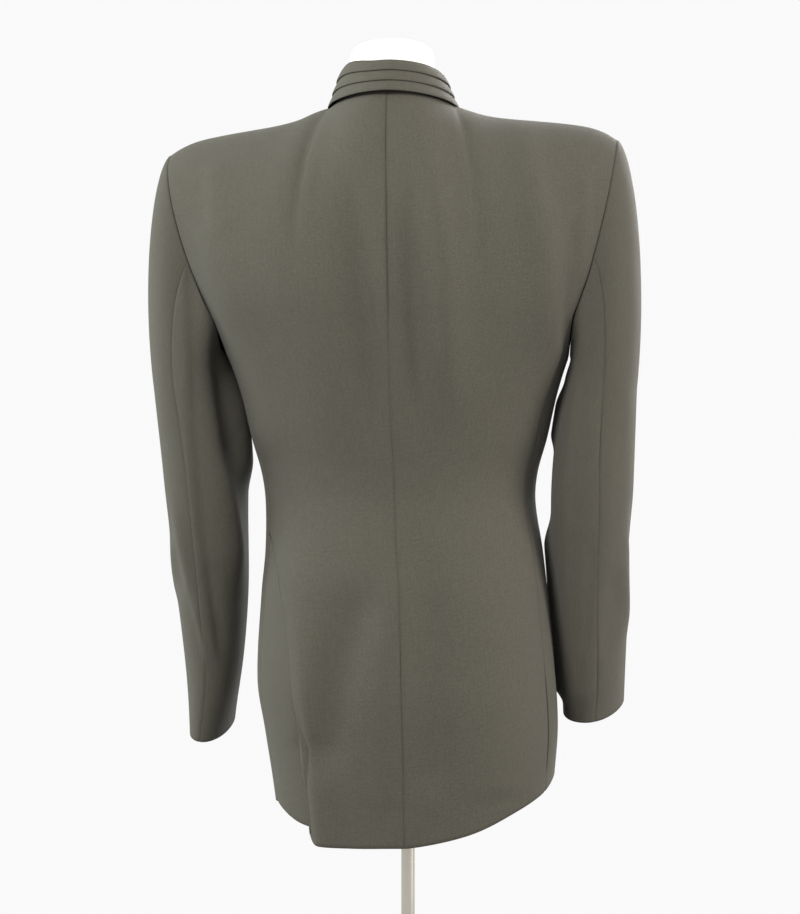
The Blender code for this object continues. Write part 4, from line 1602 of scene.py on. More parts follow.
@dataclass(frozen=True)
class ButtonFinish(Finish):
    """Cast resin in the cloth's colour, clouded, polished and finely scratched."""

    name: str = "clouded_resin"
    light: Colour = (0.105, 0.098, 0.078, 1)
    dark: Colour = (0.040, 0.037, 0.029, 1)
    roughness: float = 0.26
    relief: float = 0.00005
    clouds: float = 160.0
    scratches: float = 1900.0

    def lay(self, recipe: Recipe) -> None:
        """Adds the clouds and the scratches."""
        place = recipe.place()
        cloud = recipe.noise(place, self.clouds, 4.0)
        scratch = recipe.noise(place, self.scratches)
        colour = recipe.mix(cloud * 1.5 - 0.25, self.dark, self.light)
        recipe.surface(colour, scratch * 0.2 + self.roughness)
        recipe.bump(cloud * 0.4 + scratch * 0.2, self.relief, 0.5)
        recipe.constants(Coat_Weight=0.25, Coat_Roughness=0.2)


@dataclass(frozen=True)
class ThreadFinish(Finish):
    """Twisted sewing thread, whose fibres have a scale of their own."""

    name: str = "sewing_thread"
    light: Colour = (0.125, 0.120, 0.096, 1)
    dark: Colour = (0.060, 0.057, 0.045, 1)
    roughness: float = 0.5
    relief: float = 0.00004
    fibres: float = 2600.0

    def lay(self, recipe: Recipe) -> None:
        """Adds the fibres."""
        fibre = recipe.noise(recipe.place(), self.fibres)
        colour = recipe.mix(fibre, self.dark, self.light)
        recipe.surface(colour, fibre * 0.2 + self.roughness)
        recipe.bump(fibre, self.relief, 0.8)
        recipe.constants(Sheen_Weight=0.2)


@dataclass(frozen=True)
class StudioFinish(Finish):
    """Painted studio paper, almost plain but for slow clouds."""

    name: str = "studio_paper"
    light: Colour = (0.30, 0.30, 0.30, 1)
    dark: Colour = (0.28, 0.28, 0.28, 1)
    roughness: float = 0.9
    relief: float = 0.0
    clouds: float = 3.0

    def lay(self, recipe: Recipe) -> None:
        """Adds the slow changes; the paper has no relief."""
        cloud = recipe.noise(recipe.place(), self.clouds)
        recipe.surface(recipe.mix(cloud, self.dark, self.light), self.roughness)
        recipe.constants(Specular_IOR_Level=0.1)


# ---------------- stitches and buttons


class Tree(Nodes):
    """A Geometry Nodes group under construction.

    Args:
        name: the group's name.
        sizes: the named number inputs and their usual values.
    """

    def __init__(self, name: str, sizes: dict[str, float]) -> None:
        super().__init__(bpy.data.node_groups.new(name, "GeometryNodeTree"))
        face = self.tree.interface
        face.new_socket("Path", in_out="INPUT", socket_type="NodeSocketGeometry")
        self.identifiers = {}
        for key, value in sizes.items():
            socket = face.new_socket(key, in_out="INPUT", socket_type="NodeSocketFloat")
            socket.default_value = value
            self.identifiers[key] = socket.identifier
        facing = face.new_socket("Facing", in_out="INPUT", socket_type="NodeSocketVector")
        self.identifiers["Facing"] = facing.identifier
        finish = face.new_socket("Finish", in_out="INPUT", socket_type="NodeSocketMaterial")
        self.identifiers["Finish"] = finish.identifier
        face.new_socket("Piece", in_out="OUTPUT", socket_type="NodeSocketGeometry")
        self.inputs = self.node("NodeGroupInput", {}, {})

    def apply(self, thing: bpy.types.Object, values: dict[str, Any]) -> bpy.types.Object:
        """Runs the group on an object and keeps the result as a plain mesh.

        Args:
            thing: the object whose mesh is the path.
            values: the group's inputs by name.

        Returns:
            The same object with its new mesh.
        """
        modifier = thing.modifiers.new("made", "NODES")
        modifier.node_group = self.tree
        for key, value in values.items():
            modifier[self.identifiers[key]] = value
        made = thing.evaluated_get(bpy.context.evaluated_depsgraph_get())
        mesh = bpy.data.meshes.new_from_object(made)
        thing.modifiers.clear()
        thing.data = mesh
        return thing


def stitch_tree() -> Tree:
    """Short stitches laid across a path at even steps.

    Returns:
        The group.
    """
    tree = Tree("stitches_across_a_path", {"Pitch": 0.0006, "Length": 0.0016, "Radius": 0.00022})
    given = tree.inputs.outputs
    path = tree.node("GeometryNodeMeshToCurve", {}, {"Mesh": given["Path"]})
    by_length = {"mode": "LENGTH"}
    steps = tree.node(
        "GeometryNodeResampleCurve", by_length, {"Curve": path.outputs[0], "Length": given["Pitch"]}
    )
    run = tree.node("GeometryNodeInputTangent", {}, {})
    cross = {"operation": "CROSS_PRODUCT"}
    across = tree.node("ShaderNodeVectorMath", cross, {0: run.outputs[0], 1: given["Facing"]})
    upright = {"axis": "Z"}
    turn = tree.node("FunctionNodeAlignRotationToVector", upright, {"Vector": across.outputs[0]})
    thread = tree.node(
        "GeometryNodeMeshCylinder",
        {"fill_type": "TRIANGLE_FAN"},
        {"Vertices": 6, "Side Segments": 1, "Radius": given["Radius"], "Depth": given["Length"]},
    )
    at_steps = {"Points": steps.outputs[0], "Instance": thread.outputs["Mesh"]}
    placed = tree.node(
        "GeometryNodeInstanceOnPoints", {}, {**at_steps, "Rotation": turn.outputs[0]}
    )
    real = tree.node("GeometryNodeRealizeInstances", {}, {"Geometry": placed.outputs[0]})
    dressed = tree.node(
        "GeometryNodeSetMaterial", {}, {"Geometry": real.outputs[0], "Material": given["Finish"]}
    )
    tree.node("NodeGroupOutput", {}, {"Piece": dressed.outputs[0]})
    return tree


def path_object(name: str, points: Sequence[Vector], closed: bool) -> bpy.types.Object:
    """An object that holds a path of straight runs.

    Args:
        name: the object's name.
        points: the path's points in order.
        closed: whether the last point joins the first.

    Returns:
        The object.
    """
    runs = [(k, k + 1) for k in range(len(points) - 1)]
    if closed:
        runs.append((len(points) - 1, 0))
    mesh = bpy.data.meshes.new(name)
    mesh.from_pydata([tuple(point) for point in points], runs, [])
    return add_object(name, mesh)


def arc_points(centre: Place, radii: Place, start: float, end: float, steps: int) -> list[Place]:
    """Points at even steps of angle on part of an ellipse.

    Args:
        centre: its middle.
        radii: its half sizes.
        start: the first angle.
        end: the last angle.
        steps: how many steps lie between them.

    Returns:
        The points, with both ends.
    """
    angles = [blend(start, end, step / steps) for step in range(steps + 1)]
    (x, y), (wide, high) = centre, radii
    return [(x + wide * math.cos(angle), y + high * math.sin(angle)) for angle in angles]


@dataclass
class Buttons:
    """Four-hole buttons on the overlap, each with its buttonhole and thread.

    Attributes:
        rim: how far the dished face lies inside the button's edge.
        rim_round: the half width of the round rim, as a share of that.
        hole_spread: how far a hole lies from the middle, on X and on Y.
        thread_run: where the threads through a pair of holes start and end beside them.
        buttonhole_gap: the width between the middles of a buttonhole's stitches.
        buttonhole_end: how far it goes on past the button's middle, as a share of the radius.
    """

    figure: Figure
    finish: bpy.types.Material
    thread: bpy.types.Material
    nodes: tuple[str, ...] = ("button_1", "button_2", "button_3")
    radius: float = 0.0108
    thickness: float = 0.0036
    rim: float = 0.0026
    rim_round: float = 0.45
    dish: float = 0.0010
    hole_radius: float = 0.0009
    hole_spread: float = 0.0019
    hole_steps: int = 20
    steps: int = 64
    thread_radius: float = 0.00024
    thread_rise: float = 0.0003
    thread_run: Place = (-0.00035, 0.00036)
    thread_pitch: float = 0.00035
    buttonhole: float = 0.0260
    buttonhole_gap: float = 0.0011
    buttonhole_end: float = 0.6
    buttonhole_drop: float = 0.0001
    stitch: float = 0.0019
    stitch_pitch: float = 0.00048

    def frame_at(self, node: str) -> Matrix:
        """The button's place.

        Args:
            node: the solid that the button stands for.

        Returns:
            Its middle and its directions, Z outwards.
        """
        low, high = (np.array(corner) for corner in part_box(node))
        middle = (low + high) / 2
        z = middle[2]
        ring = partial(self.figure.ring, Side.RIGHT)
        across = ring(math.pi + NUDGE, z) - ring(math.pi - NUDGE, z)
        along = ring(math.pi, z + NUDGE) - ring(math.pi, z - NUDGE)
        facing = Vector(unit(np.cross(across, along)))
        if facing.y > 0:
            facing.negate()
        turn = facing.to_track_quat("Z", "Y").to_matrix().to_4x4()
        return Matrix.Translation(Vector(middle)) @ turn

    def profile(self) -> list[Place]:
        """The button's half section.

        Returns:
            Its (radius, height) pairs, from the middle of its face to the middle of its back.
        """
        half = self.thickness / 2
        face, rounding = half - self.dish, self.rim * self.rim_round
        points = [(0.0, face), (self.radius - self.rim, face)]
        rim = (self.radius - rounding, face)
        points += arc_points(rim, (rounding, self.dish), math.pi, 0.0, 8)
        corner = (self.radius - self.dish, self.dish - half)
        points += arc_points(corner, (self.dish, self.dish), 0.0, -QUARTER, 6)
        return points + [(0.0, -half)]

    def make(self, node: str, stitches: Tree) -> None:
        """Makes one button, its thread and its buttonhole.

        Args:
            node: the solid that the button stands for.
            stitches: the group that lays the stitches.
        """
        place = self.frame_at(node)
        button = add_object(f"{node}_turned", turned_mesh(node, self.profile(), self.steps))
        self.drill(button)
        mesh = button.data
        mesh.transform(place)
        mesh.materials.clear()
        mesh.materials.append(self.finish)
        mesh.shade_smooth()
        mesh.set_sharp_from_angle(angle=SHARP_RIM)
        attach(button, BODY)
        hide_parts(node)
        self.sew(node, place, stitches)
        report(button)

    def drill(self, button: bpy.types.Object) -> None:
        """Cuts the four thread holes.

        Args:
            button: the turned button, still at the origin.
        """
        drills = bmesh.new()
        places = (-self.hole_spread, self.hole_spread)
        for spot in ((x, y, 0) for x in places for y in places):
            bmesh.ops.create_cone(
                drills,
                cap_ends=True,
                segments=self.hole_steps,
                radius1=self.hole_radius,
                radius2=self.hole_radius,
                depth=self.thickness * 2,
                matrix=Matrix.Translation(spot),
            )
        mesh = bpy.data.meshes.new("drills")
        drills.to_mesh(mesh)
        drills.free()
        cutter = add_object("drills", mesh)
        cut = button.modifiers.new("holes", "BOOLEAN")
        cut.object = cutter
        made = button.evaluated_get(bpy.context.evaluated_depsgraph_get())
        button.data = bpy.data.meshes.new_from_object(made)
        button.modifiers.clear()
        bpy.data.objects.remove(cutter)

    def sew(self, node: str, place: Matrix, stitches: Tree) -> None:
        """Lays the thread between the holes and the stitches round the buttonhole.

        Args:
            node: the solid that the button stands for.
            place: the button's place.
            stitches: the group that lays the stitches.
        """
        facing = (place.to_3x3() @ Vector((0, 0, 1))).normalized()
        look = {"Radius": self.thread_radius, "Facing": facing, "Finish": self.thread}
        sizes = {"Pitch": self.thread_pitch, "Length": self.hole_spread * 2, **look}
        top = self.thickness / 2 - self.dish + self.thread_rise
        for number, x in enumerate((-self.hole_spread, self.hole_spread), start=1):
            ends = [place @ Vector((x + shift, 0, top)) for shift in self.thread_run]
            thread = path_object(f"{node}_thread_{number}", ends, False)
            self.keep(stitches.apply(thread, sizes))
        gap, end = self.buttonhole_gap / 2, self.radius * self.buttonhole_end
        far = end - self.buttonhole
        rim = arc_points((end, 0.0), (gap, gap), -QUARTER, QUARTER, 8)
        rim += arc_points((far, 0.0), (gap, gap), QUARTER, 3 * QUARTER, 8)
        seat = -self.thickness / 2 - self.buttonhole_drop
        path = [place @ Vector((x, y, seat)) for x, y in rim]
        hole = path_object(f"{node}_buttonhole", path, True)
        sizes = {"Pitch": self.stitch_pitch, "Length": self.stitch, **look}
        self.keep(stitches.apply(hole, sizes))

    def keep(self, piece: bpy.types.Object) -> None:
        """Tells the frame that stitches belong to the jacket.

        Args:
            piece: the stitches.
        """
        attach(piece, BODY)
        report(piece)

    def build(self) -> None:
        """Makes all the buttons."""
        stitches = stitch_tree()
        for node in self.nodes:
            self.make(node, stitches)

# ---------------- the form and its stand


def turned_mesh(name: str, profile: Sequence[Place], steps: int) -> bpy.types.Mesh:
    """A closed mesh turned about the Z axis.

    Args:
        name: the mesh's name.
        profile: (radius, height) pairs from one end of the axis to the other.
        steps: how many faces go round it.

    Returns:
        The mesh.
    """
    shape = bmesh.new()
    rings = []
    for radius, height in profile:
        count = steps if radius > 0 else 1
        ways = arc_points((0.0, 0.0), (radius, radius), 0.0, FULL_TURN, steps)[:count]
        rings.append([shape.verts.new((x, y, height)) for x, y in ways])
    for near, far in zip(rings, rings[1:]):
        for step in range(steps):
            after = (step + 1) % steps
            low = (near[step % len(near)], far[step % len(far)])
            high = (far[after % len(far)], near[after % len(near)])
            shape.faces.new(dict.fromkeys(low + high))
    bmesh.ops.recalc_face_normals(shape, faces=shape.faces)
    mesh = bpy.data.meshes.new(name)
    shape.to_mesh(mesh)
    shape.free()
    mesh.shade_smooth()
    mesh.set_sharp_from_angle(angle=SHARP_RIM)
    return mesh


def keep_piece(mesh: bpy.types.Mesh, node: str, finish: bpy.types.Material) -> None:
    """Puts a finished mesh in the scene in place of a solid.

    Args:
        mesh: the piece's mesh, in its place and under its name.
        node: the solid that it stands for.
        finish: its material.
    """
    piece = add_object(mesh.name, mesh)
    mesh.materials.append(finish)
    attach(piece, BODY)
    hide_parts(node)
    report(piece)


@dataclass
class DressForm:
    """The limbless torso with its neck, under a smooth jersey cover.

    Attributes:
        between: the rings from one row of the table to the next.
        crisp: the angle past which an edge keeps a crisp line.
    """

    finish: bpy.types.Material
    around: int = 112
    between: int = 6
    crisp: float = math.radians(50)
    rings: Table = Table(
        "row z x y half_width back front square",
        (0, 0.7600, 0.0000, 0.000, 0.1200, 0.0920, 0.0880, 2.2),
        (1, 0.7640, 0.0000, 0.000, 0.1280, 0.0990, 0.0940, 2.2),
        (2, 0.8000, -0.0010, 0.000, 0.1370, 0.1080, 0.1020, 2.2),
        (3, 0.8500, -0.0010, 0.000, 0.1400, 0.1120, 0.1040, 2.2),
        (4, 0.9100, 0.0005, 0.000, 0.1340, 0.1040, 0.0980, 2.2),
        (5, 0.9600, 0.0030, 0.000, 0.1260, 0.0930, 0.0900, 2.1),
        (6, 1.0000, 0.0050, 0.000, 0.1220, 0.0860, 0.0860, 2.1),
        (7, 1.0500, 0.0070, 0.000, 0.1300, 0.0900, 0.0940, 2.1),
        (8, 1.1000, 0.0082, 0.000, 0.1420, 0.0990, 0.1080, 2.2),
        (9, 1.1600, 0.0095, 0.000, 0.1520, 0.1080, 0.1170, 2.2),
        (10, 1.2200, 0.0110, 0.002, 0.1600, 0.1070, 0.1120, 2.2),
        (11, 1.2700, 0.0122, 0.004, 0.1660, 0.0990, 0.0960, 2.2),
        (12, 1.3100, 0.0130, 0.007, 0.1650, 0.0840, 0.0780, 2.1),
        (13, 1.3400, 0.0133, 0.010, 0.1530, 0.0620, 0.0600, 2.0),
        (14, 1.3580, 0.0135, 0.010, 0.1320, 0.0450, 0.0460, 2.0),
        (15, 1.3760, 0.0150, 0.011, 0.1000, 0.0370, 0.0400, 2.0),
        (16, 1.3920, 0.0145, 0.015, 0.0680, 0.0390, 0.0410, 2.0),
        (17, 1.4100, 0.0150, 0.017, 0.0510, 0.0420, 0.0420, 2.0),
        (18, 1.4400, 0.0150, 0.016, 0.0440, 0.0415, 0.0415, 2.0),
        (19, 1.4600, 0.0150, 0.016, 0.0430, 0.0410, 0.0410, 2.0),
        (20, 1.4700, 0.0150, 0.016, 0.0370, 0.0350, 0.0350, 2.0),
        (21, 1.4750, 0.0150, 0.016, 0.0240, 0.0220, 0.0220, 2.0),
    )

    def build(self) -> None:
        """Makes the form."""
        last = int(self.rings.rows[-1, 0])
        row = np.linspace(0, last, last * self.between + 1)[:, None]
        angle = (np.arange(self.around) * FULL_TURN / self.around)[None]
        read = self.rings.read
        depth = np.where(np.sin(angle) > 0, read("back", row), read("front", row))
        square = read("square", row)
        x = read("x", row) + read("half_width", row) * arc(np.cos(angle), square)
        y = read("y", row) + depth * arc(np.sin(angle), square)
        points = stack(x, y, read("z", row))
        mesh = bpy.data.meshes.new("dress_form_cover")
        mesh.from_pydata(points.reshape(-1, 3).tolist(), [], tube_faces(*points.shape[:2]))
        mesh.shade_smooth()
        mesh.set_sharp_from_angle(angle=self.crisp)
        keep_piece(mesh, "dress_form", self.finish)


@dataclass
class Stand:
    """The turned pole and round base plate under the form, with rounded rims."""

    pole_finish: bpy.types.Material
    base_finish: bpy.types.Material
    pole_radius: float = 0.0070
    pole_bottom: float = 0.0082
    pole_top: float = 0.7597
    base_radius: float = 0.160
    base_thickness: float = 0.008
    pole_rim: float = 0.0006
    base_rim: float = 0.002
    pole_steps: int = 64
    base_steps: int = 160

    def rounded(self, radius: float, bottom: float, top: float, rim: float) -> list[Place]:
        """The half section of a disc or rod with rounded rims.

        Args:
            radius: its half width.
            bottom: the height of its lower end.
            top: the height of its upper end.
            rim: the radius of its rims.

        Returns:
            Its (radius, height) pairs from the bottom up.
        """
        low = arc_points((radius - rim, bottom + rim), (rim, rim), -QUARTER, 0.0, 6)
        high = arc_points((radius - rim, top - rim), (rim, rim), 0.0, QUARTER, 6)
        return [(0.0, bottom), *low, *high, (0.0, top)]

    def build(self) -> None:
        """Makes the pole and the base."""
        section = self.rounded(self.pole_radius, self.pole_bottom, self.pole_top, self.pole_rim)
        pole = turned_mesh("stand_pole_tube", section, self.pole_steps)
        keep_piece(pole, "stand_pole", self.pole_finish)
        section = self.rounded(self.base_radius, 0.0, self.base_thickness, self.base_rim)
        base = turned_mesh("stand_base_plate", section, self.base_steps)
        keep_piece(base, "stand_base", self.base_finish)


# ---------------- the studio


def place_looking(thing: bpy.types.Object, place: Vector, way: Vector) -> None:
    """Puts a camera or a light in the scene.

    Args:
        thing: the camera or light.
        place: where it stands.
        way: the way that it looks.
    """
    thing.location = place
    thing.rotation_mode = "QUATERNION"
    thing.rotation_quaternion = way.to_track_quat("-Z", "Y")
    bpy.context.scene.collection.objects.link(thing)


@dataclass(frozen=True)
class SoftBox:
    """One soft square light.

    It stands at a place and faces a height on the Z axis. Its power is in watts.
    """

    name: str
    place: Place3
    aim: float
    size: float
    power: float
    colour: Place3

    def build(self) -> None:
        """Puts the light in the scene."""
        data = bpy.data.lights.new(self.name, "AREA")
        data.shape = "SQUARE"
        data.size = self.size
        data.energy = self.power
        data.color = self.colour
        place = Vector(self.place)
        aim = Vector((0.0, 0.0, self.aim))
        place_looking(bpy.data.objects.new(self.name, data), place, aim - place)


@dataclass
class Studio:
    """The pale floor, the soft lights and the camera at the photograph's angle.

    Attributes:
        image_width: the photograph's width in pixels, and image_height its height.
        focal_pixels: the camera's focal length in the same pixels.
        sensor: the sensor's width in millimetres.
        turn: how far round from straight behind the camera stands.
        aside: how far it is moved to its left.
        farthest: how far it sees.
        world: the strength of the light from all round.
        floor_drop: how far the floor lies under the base plate.
    """

    floor_finish: bpy.types.Material
    image_width: int = 800
    image_height: int = 914
    focal_pixels: float = 2500.0
    sensor: float = 36.0
    turn: float = math.radians(5)
    distance: float = 2.6
    aside: float = 0.0083
    eye_height: float = 1.046
    farthest: float = 60.0
    world: float = 0.95
    floor_radius: float = 1.45
    floor_sides: int = 96
    floor_drop: float = 0.0005
    lights: tuple[SoftBox, ...] = (
        SoftBox("key_box", (3.1, -0.1, 2.4), 1.20, 1.0, 118, (0.92, 1.0, 0.96)),
        SoftBox("back_box", (1.3, 3.2, 3.2), 1.25, 1.2, 228, (1.0, 0.99, 0.94)),
        SoftBox("fill_box", (-3.1, 0.2, 1.6), 1.0, 1.2, 125, (1.0, 0.94, 0.87)),
        SoftBox("front_box", (-1.4, -3.0, 2.6), 1.1, 1.8, 150, (1.0, 0.99, 0.97)),
    )

    def camera(self) -> None:
        """Sets the camera behind the jacket, level, and turned a little to its left."""
        data = bpy.data.cameras.new("studio_camera")
        data.sensor_fit = "AUTO"
        data.sensor_width = self.sensor
        data.lens = self.focal_pixels * self.sensor / max(self.image_width, self.image_height)
        data.clip_end = self.farthest
        camera = bpy.data.objects.new("studio_camera", data)
        back = Vector((-math.sin(self.turn), math.cos(self.turn), 0))
        right = Vector((-math.cos(self.turn), -math.sin(self.turn), 0))
        eye = Vector((0, 0, self.eye_height))
        place_looking(camera, back * self.distance - right * self.aside + eye, -back)
        bpy.context.scene.camera = camera

    def build(self) -> None:
        """Makes the floor, the world and the lights."""
        mesh = bpy.data.meshes.new("studio_floor")
        radii = (self.floor_radius, self.floor_radius)
        rim = arc_points((0.0, 0.0), radii, 0.0, FULL_TURN, self.floor_sides)[:-1]
        mesh.from_pydata([(x, y, 0.0) for x, y in rim], [], [tuple(range(self.floor_sides))])
        floor = add_object("studio_floor", mesh)
        floor.location.z = -self.floor_drop
        mesh.materials.append(self.floor_finish)
        world = bpy.data.worlds.new("studio_world")
        world.use_nodes = True
        sky = world.node_tree.nodes["Background"]
        sky.inputs["Color"].default_value = (1.0, 1.0, 1.0, 1)
        sky.inputs["Strength"].default_value = self.world
        bpy.context.scene.world = world
        bpy.context.scene.view_settings.view_transform = "Standard"
        for light in self.lights:
            light.build()


# ---------------- putting it together

CREASES = {
    "back_left": (
        Crease(((0.046, 1.300), (0.033, 1.200), (0.020, 1.090)), -0.0072, 0.012, 0.022, (0.6, 0.5)),
        Crease(((0.012, 1.330), (0.010, 1.180)), 0.0012, 0.010, 0.010),
        Crease(((0.078, 1.290), (0.074, 1.180), (0.070, 1.030)), 0.0012, 0.034, 0.036, (0.7, 0.5)),
        Crease(
            ((0.200, 1.270), (0.176, 1.195), (0.156, 1.105), (0.142, 1.055)),
            0.0040, 0.028, 0.016, (0.3, 0.2),
        ),
        Crease(((0.196, 1.345), (0.188, 1.270)), 0.0022, 0.016, 0.010),
        Crease(
            ((0.034, 0.915), (0.052, 0.850), (0.070, 0.770), (0.080, 0.735)),
            -0.0068, 0.020, 0.028, (0.35, 0.3),
        ),
        Crease(((0.105, 0.950), (0.098, 0.760)), 0.0022, 0.028, 0.020, (0.3, 0.1)),
        Crease(((0.012, 0.880), (0.014, 0.700)), 0.0015, 0.014, 0.016, (0.3, 0.1)),
    ),
    "back_right": (
        Crease(((-0.011, 1.29), (-0.016, 1.19), (-0.021, 1.08)), -0.0050, 0.013, 0.009, (0.6, 0.5)),
        Crease(((-0.030, 1.35), (-0.046, 1.24), (-0.052, 1.12)), 0.0064, 0.017, 0.015, (0.7, 0.5)),
        Crease(((-0.084, 1.290), (-0.098, 1.090)), -0.0012, 0.022, 0.026, (0.7, 0.5)),
        Crease(((-0.128, 1.35), (-0.148, 1.24), (-0.152, 1.13)), 0.0068, 0.016, 0.019, (0.6, 0.5)),
        Crease(
            ((-0.176, 1.275), (-0.168, 1.215), (-0.160, 1.165)), -0.0040, 0.008, 0.007, (0.4, 0.3)
        ),
        Crease(((-0.186, 1.330), (-0.180, 1.230)), 0.0024, 0.007, 0.009),
        Crease(((-0.030, 0.930), (-0.034, 0.720)), -0.0046, 0.018, 0.022, (0.35, 0.2)),
        Crease(((-0.090, 0.900), (-0.100, 0.710)), 0.0024, 0.026, 0.030, (0.35, 0.1)),
    ),
    "side_right": (Crease(((-0.148, 0.830), (-0.150, 0.730)), 0.0016, 0.006, 0.006, (0.3, 0.1)),),
    "sleeve_top_left": (
        Crease(((0.241, 0.995), (0.226, 0.908)), 0.0028, 0.007, 0.005, (0.5, 0.5)),
        Crease(((0.250, 0.985), (0.236, 0.905)), -0.0020, 0.007, 0.008, (0.5, 0.5)),
        Crease(((0.222, 0.896), (0.2135, 0.858), (0.206, 0.826)), 0.0024, 0.006, 0.004, (0.4, 0.5)),
        Crease(((0.250, 1.240), (0.247, 1.080)), 0.0020, 0.016, 0.012),
        Crease(((-0.010, 1.000), (-0.050, 0.920)), -0.0030, 0.016, 0.012, (0.5, 0.5), Face.LEFT),
        Crease(((0.020, 0.960), (-0.030, 0.900)), 0.0028, 0.014, 0.012, (0.5, 0.5), Face.LEFT),
        Crease(((-0.050, 0.900), (-0.095, 0.840)), -0.0026, 0.014, 0.012, (0.5, 0.5), Face.LEFT),
    ),
    "sleeve_under_left": (
        Crease(
            ((0.2056, 1.220), (0.2036, 1.150), (0.1914, 1.040), (0.172, 0.925)),
            0.0072, 0.008, 0.020, (0.15, 0.2),
        ),
        Crease(((0.205, 0.930), (0.196, 0.850)), -0.0020, 0.008, 0.010),
        Crease(((0.190, 1.158), (0.183, 1.105), (0.168, 1.040)), -0.0110, 0.014, 0.020, (0.5, 0.4)),
        Crease(
            ((0.226, 1.230), (0.222, 1.100), (0.214, 0.960), (0.203, 0.840)),
            0.0042, 0.004, 0.030, (0.2, 0.1),
        ),
        Crease(
            ((-0.006, 1.118), (-0.011, 1.080), (-0.018, 1.025)),
            0.0055, 0.028, 0.026, (0.6, 0.4), Face.RIGHT,
        ),
    ),
    "sleeve_top_right": (
        Crease(((-0.229, 0.960), (-0.2235, 0.860)), 0.0026, 0.006, 0.006),
        Crease(((-0.225, 1.240), (-0.222, 1.080)), 0.0022, 0.012, 0.014),
        Crease(((-0.215, 0.930), (-0.205, 0.840)), -0.0022, 0.008, 0.009, (0.5, 0.5)),
        Crease(((-0.005, 0.990), (-0.055, 0.900)), -0.0030, 0.016, 0.012, (0.5, 0.5), Face.RIGHT),
        Crease(((0.015, 0.940), (-0.040, 0.870)), 0.0026, 0.014, 0.012, (0.5, 0.5), Face.RIGHT),
    ),
    "sleeve_under_right": (
        Crease(
            ((-0.176, 1.110), (-0.164, 1.000), (-0.166, 0.900), (-0.172, 0.790)),
            0.0046, 0.026, 0.006, (0.2, 0.1),
        ),
        Crease(
            ((-0.030, 0.975), (-0.040, 0.900), (-0.058, 0.800)),
            0.0128, 0.026, 0.026, (0.25, 0.1), Face.LEFT,
        ),
        Crease(((-0.016, 1.115), (-0.020, 1.060)), 0.0070, 0.026, 0.026, (0.6, 0.35), Face.LEFT),
        Crease(((-0.190, 0.960), (-0.184, 0.850)), -0.0018, 0.008, 0.008),
    ),
    "front_left": (
        Crease(((0.110, 1.290), (0.085, 1.150)), -0.0026, 0.018, 0.022, (0.4, 0.4), Face.FRONT),
        Crease(((0.150, 1.300), (0.140, 1.170)), 0.0030, 0.016, 0.014, (0.4, 0.4), Face.FRONT),
        Crease(((0.060, 0.960), (0.075, 0.740)), 0.0028, 0.026, 0.030, (0.4, 0.1), Face.FRONT),
        Crease(((0.035, 0.900), (0.040, 0.740)), -0.0018, 0.016, 0.018, (0.4, 0.1), Face.FRONT),
    ),
    "front_right": (
        Crease(((-0.090, 1.300), (-0.070, 1.160)), -0.0024, 0.020, 0.018, (0.4, 0.4), Face.FRONT),
        Crease(((-0.135, 1.310), (-0.128, 1.180)), 0.0030, 0.015, 0.016, (0.4, 0.4), Face.FRONT),
        Crease(((-0.055, 0.950), (-0.070, 0.740)), 0.0026, 0.028, 0.024, (0.4, 0.1), Face.FRONT),
        Crease(((-0.100, 0.900), (-0.105, 0.760)), -0.0018, 0.016, 0.016, (0.4, 0.1), Face.FRONT),
    ),
}

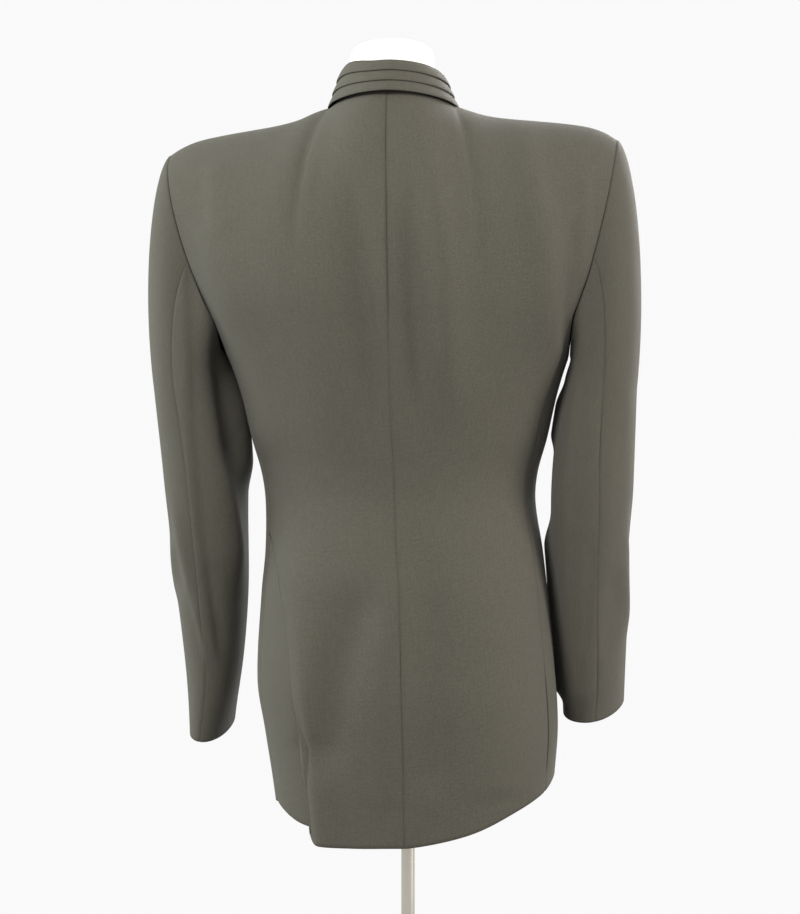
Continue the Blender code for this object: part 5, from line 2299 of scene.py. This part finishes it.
CUTS = {
    "back_left": Cut(0.26, 0.82, 0.160),
    "back_right": Cut(0.26, 0.80, 0.148),
    "side_left": Cut(0.15, 0.50, 0.049),
    "side_right": Cut(0.15, 0.48, 0.046),
    "front_left": Cut(0.24, 0.78, 0.149),
    "front_right": Cut(0.24, 0.78, 0.146),
    "sleeve_top_left": Cut(0.23, 0.62, 0.094),
    "sleeve_top_right": Cut(0.23, 0.60, 0.090),
    "sleeve_under_left": Cut(0.17, 0.52, 0.066),
    "sleeve_under_right": Cut(0.17, 0.49, 0.062),
    "collar_band_upper": Cut(0.018, 0.69, 0.0072),
    "collar_band_middle": Cut(0.018, 0.69, 0.0086),
    "collar_band_lower": Cut(0.018, 0.68, 0.0086),
    "collar_stand": Cut(0.036, 0.37, 0.0103),
}

SLEEVE_SECTIONS = {
    Side.LEFT: Table(
        "place x y z half_width half_depth turn twist",
        (0, 0.2230, -0.004, 1.120, 0.0425, 0.0600, -4, 0),
        (1, 0.2150, -0.007, 1.055, 0.0440, 0.0590, -4, 2),
        (2, 0.2120, -0.015, 0.980, 0.0410, 0.0560, -2, 3),
        (3, 0.2095, -0.029, 0.905, 0.0370, 0.0535, 0, 3),
        (4, 0.2110, -0.048, 0.832, 0.0305, 0.0515, 2, 4),
        (5, 0.2165, -0.070, 0.759, 0.0205, 0.0500, -7, 8),
    ),
    Side.RIGHT: Table(
        "place x y z half_width half_depth turn twist",
        (0, -0.2000, -0.002, 1.120, 0.0372, 0.0590, 4, 0),
        (1, -0.1935, -0.004, 1.055, 0.0412, 0.0575, 6, -5),
        (2, -0.1905, -0.011, 0.990, 0.0414, 0.0555, 10, -13),
        (3, -0.1910, -0.024, 0.920, 0.0370, 0.0530, 16, -19),
        (4, -0.1920, -0.041, 0.850, 0.0320, 0.0500, 18, -22),
        (5, -0.1920, -0.062, 0.784, 0.0285, 0.0490, 20, -24),
    ),
}


def main() -> None:
    """Builds the studio, the jacket and what wears it."""
    logging.basicConfig(level=logging.INFO, format="%(name)s %(message)s")
    studio = Studio(StudioFinish().make())
    studio.camera()
    studio.build()
    wool = WoolFinish().make()
    figure = Figure()
    sleeves = [Sleeve(side, sections) for side, sections in SLEEVE_SECTIONS.items()]
    Jacket(wool, figure, Vent(), CREASES, CUTS).build(sleeves)
    Collar(figure, wool).build(CUTS)
    Buttons(figure, ButtonFinish().make(), ThreadFinish().make()).build()
    DressForm(JerseyFinish().make()).build()
    drawn = SteelFinish(name="drawn_steel", stretch=(260, 260, 3))
    Stand(drawn.make(), SteelFinish().make()).build()


if __name__ == "__main__":
    main()
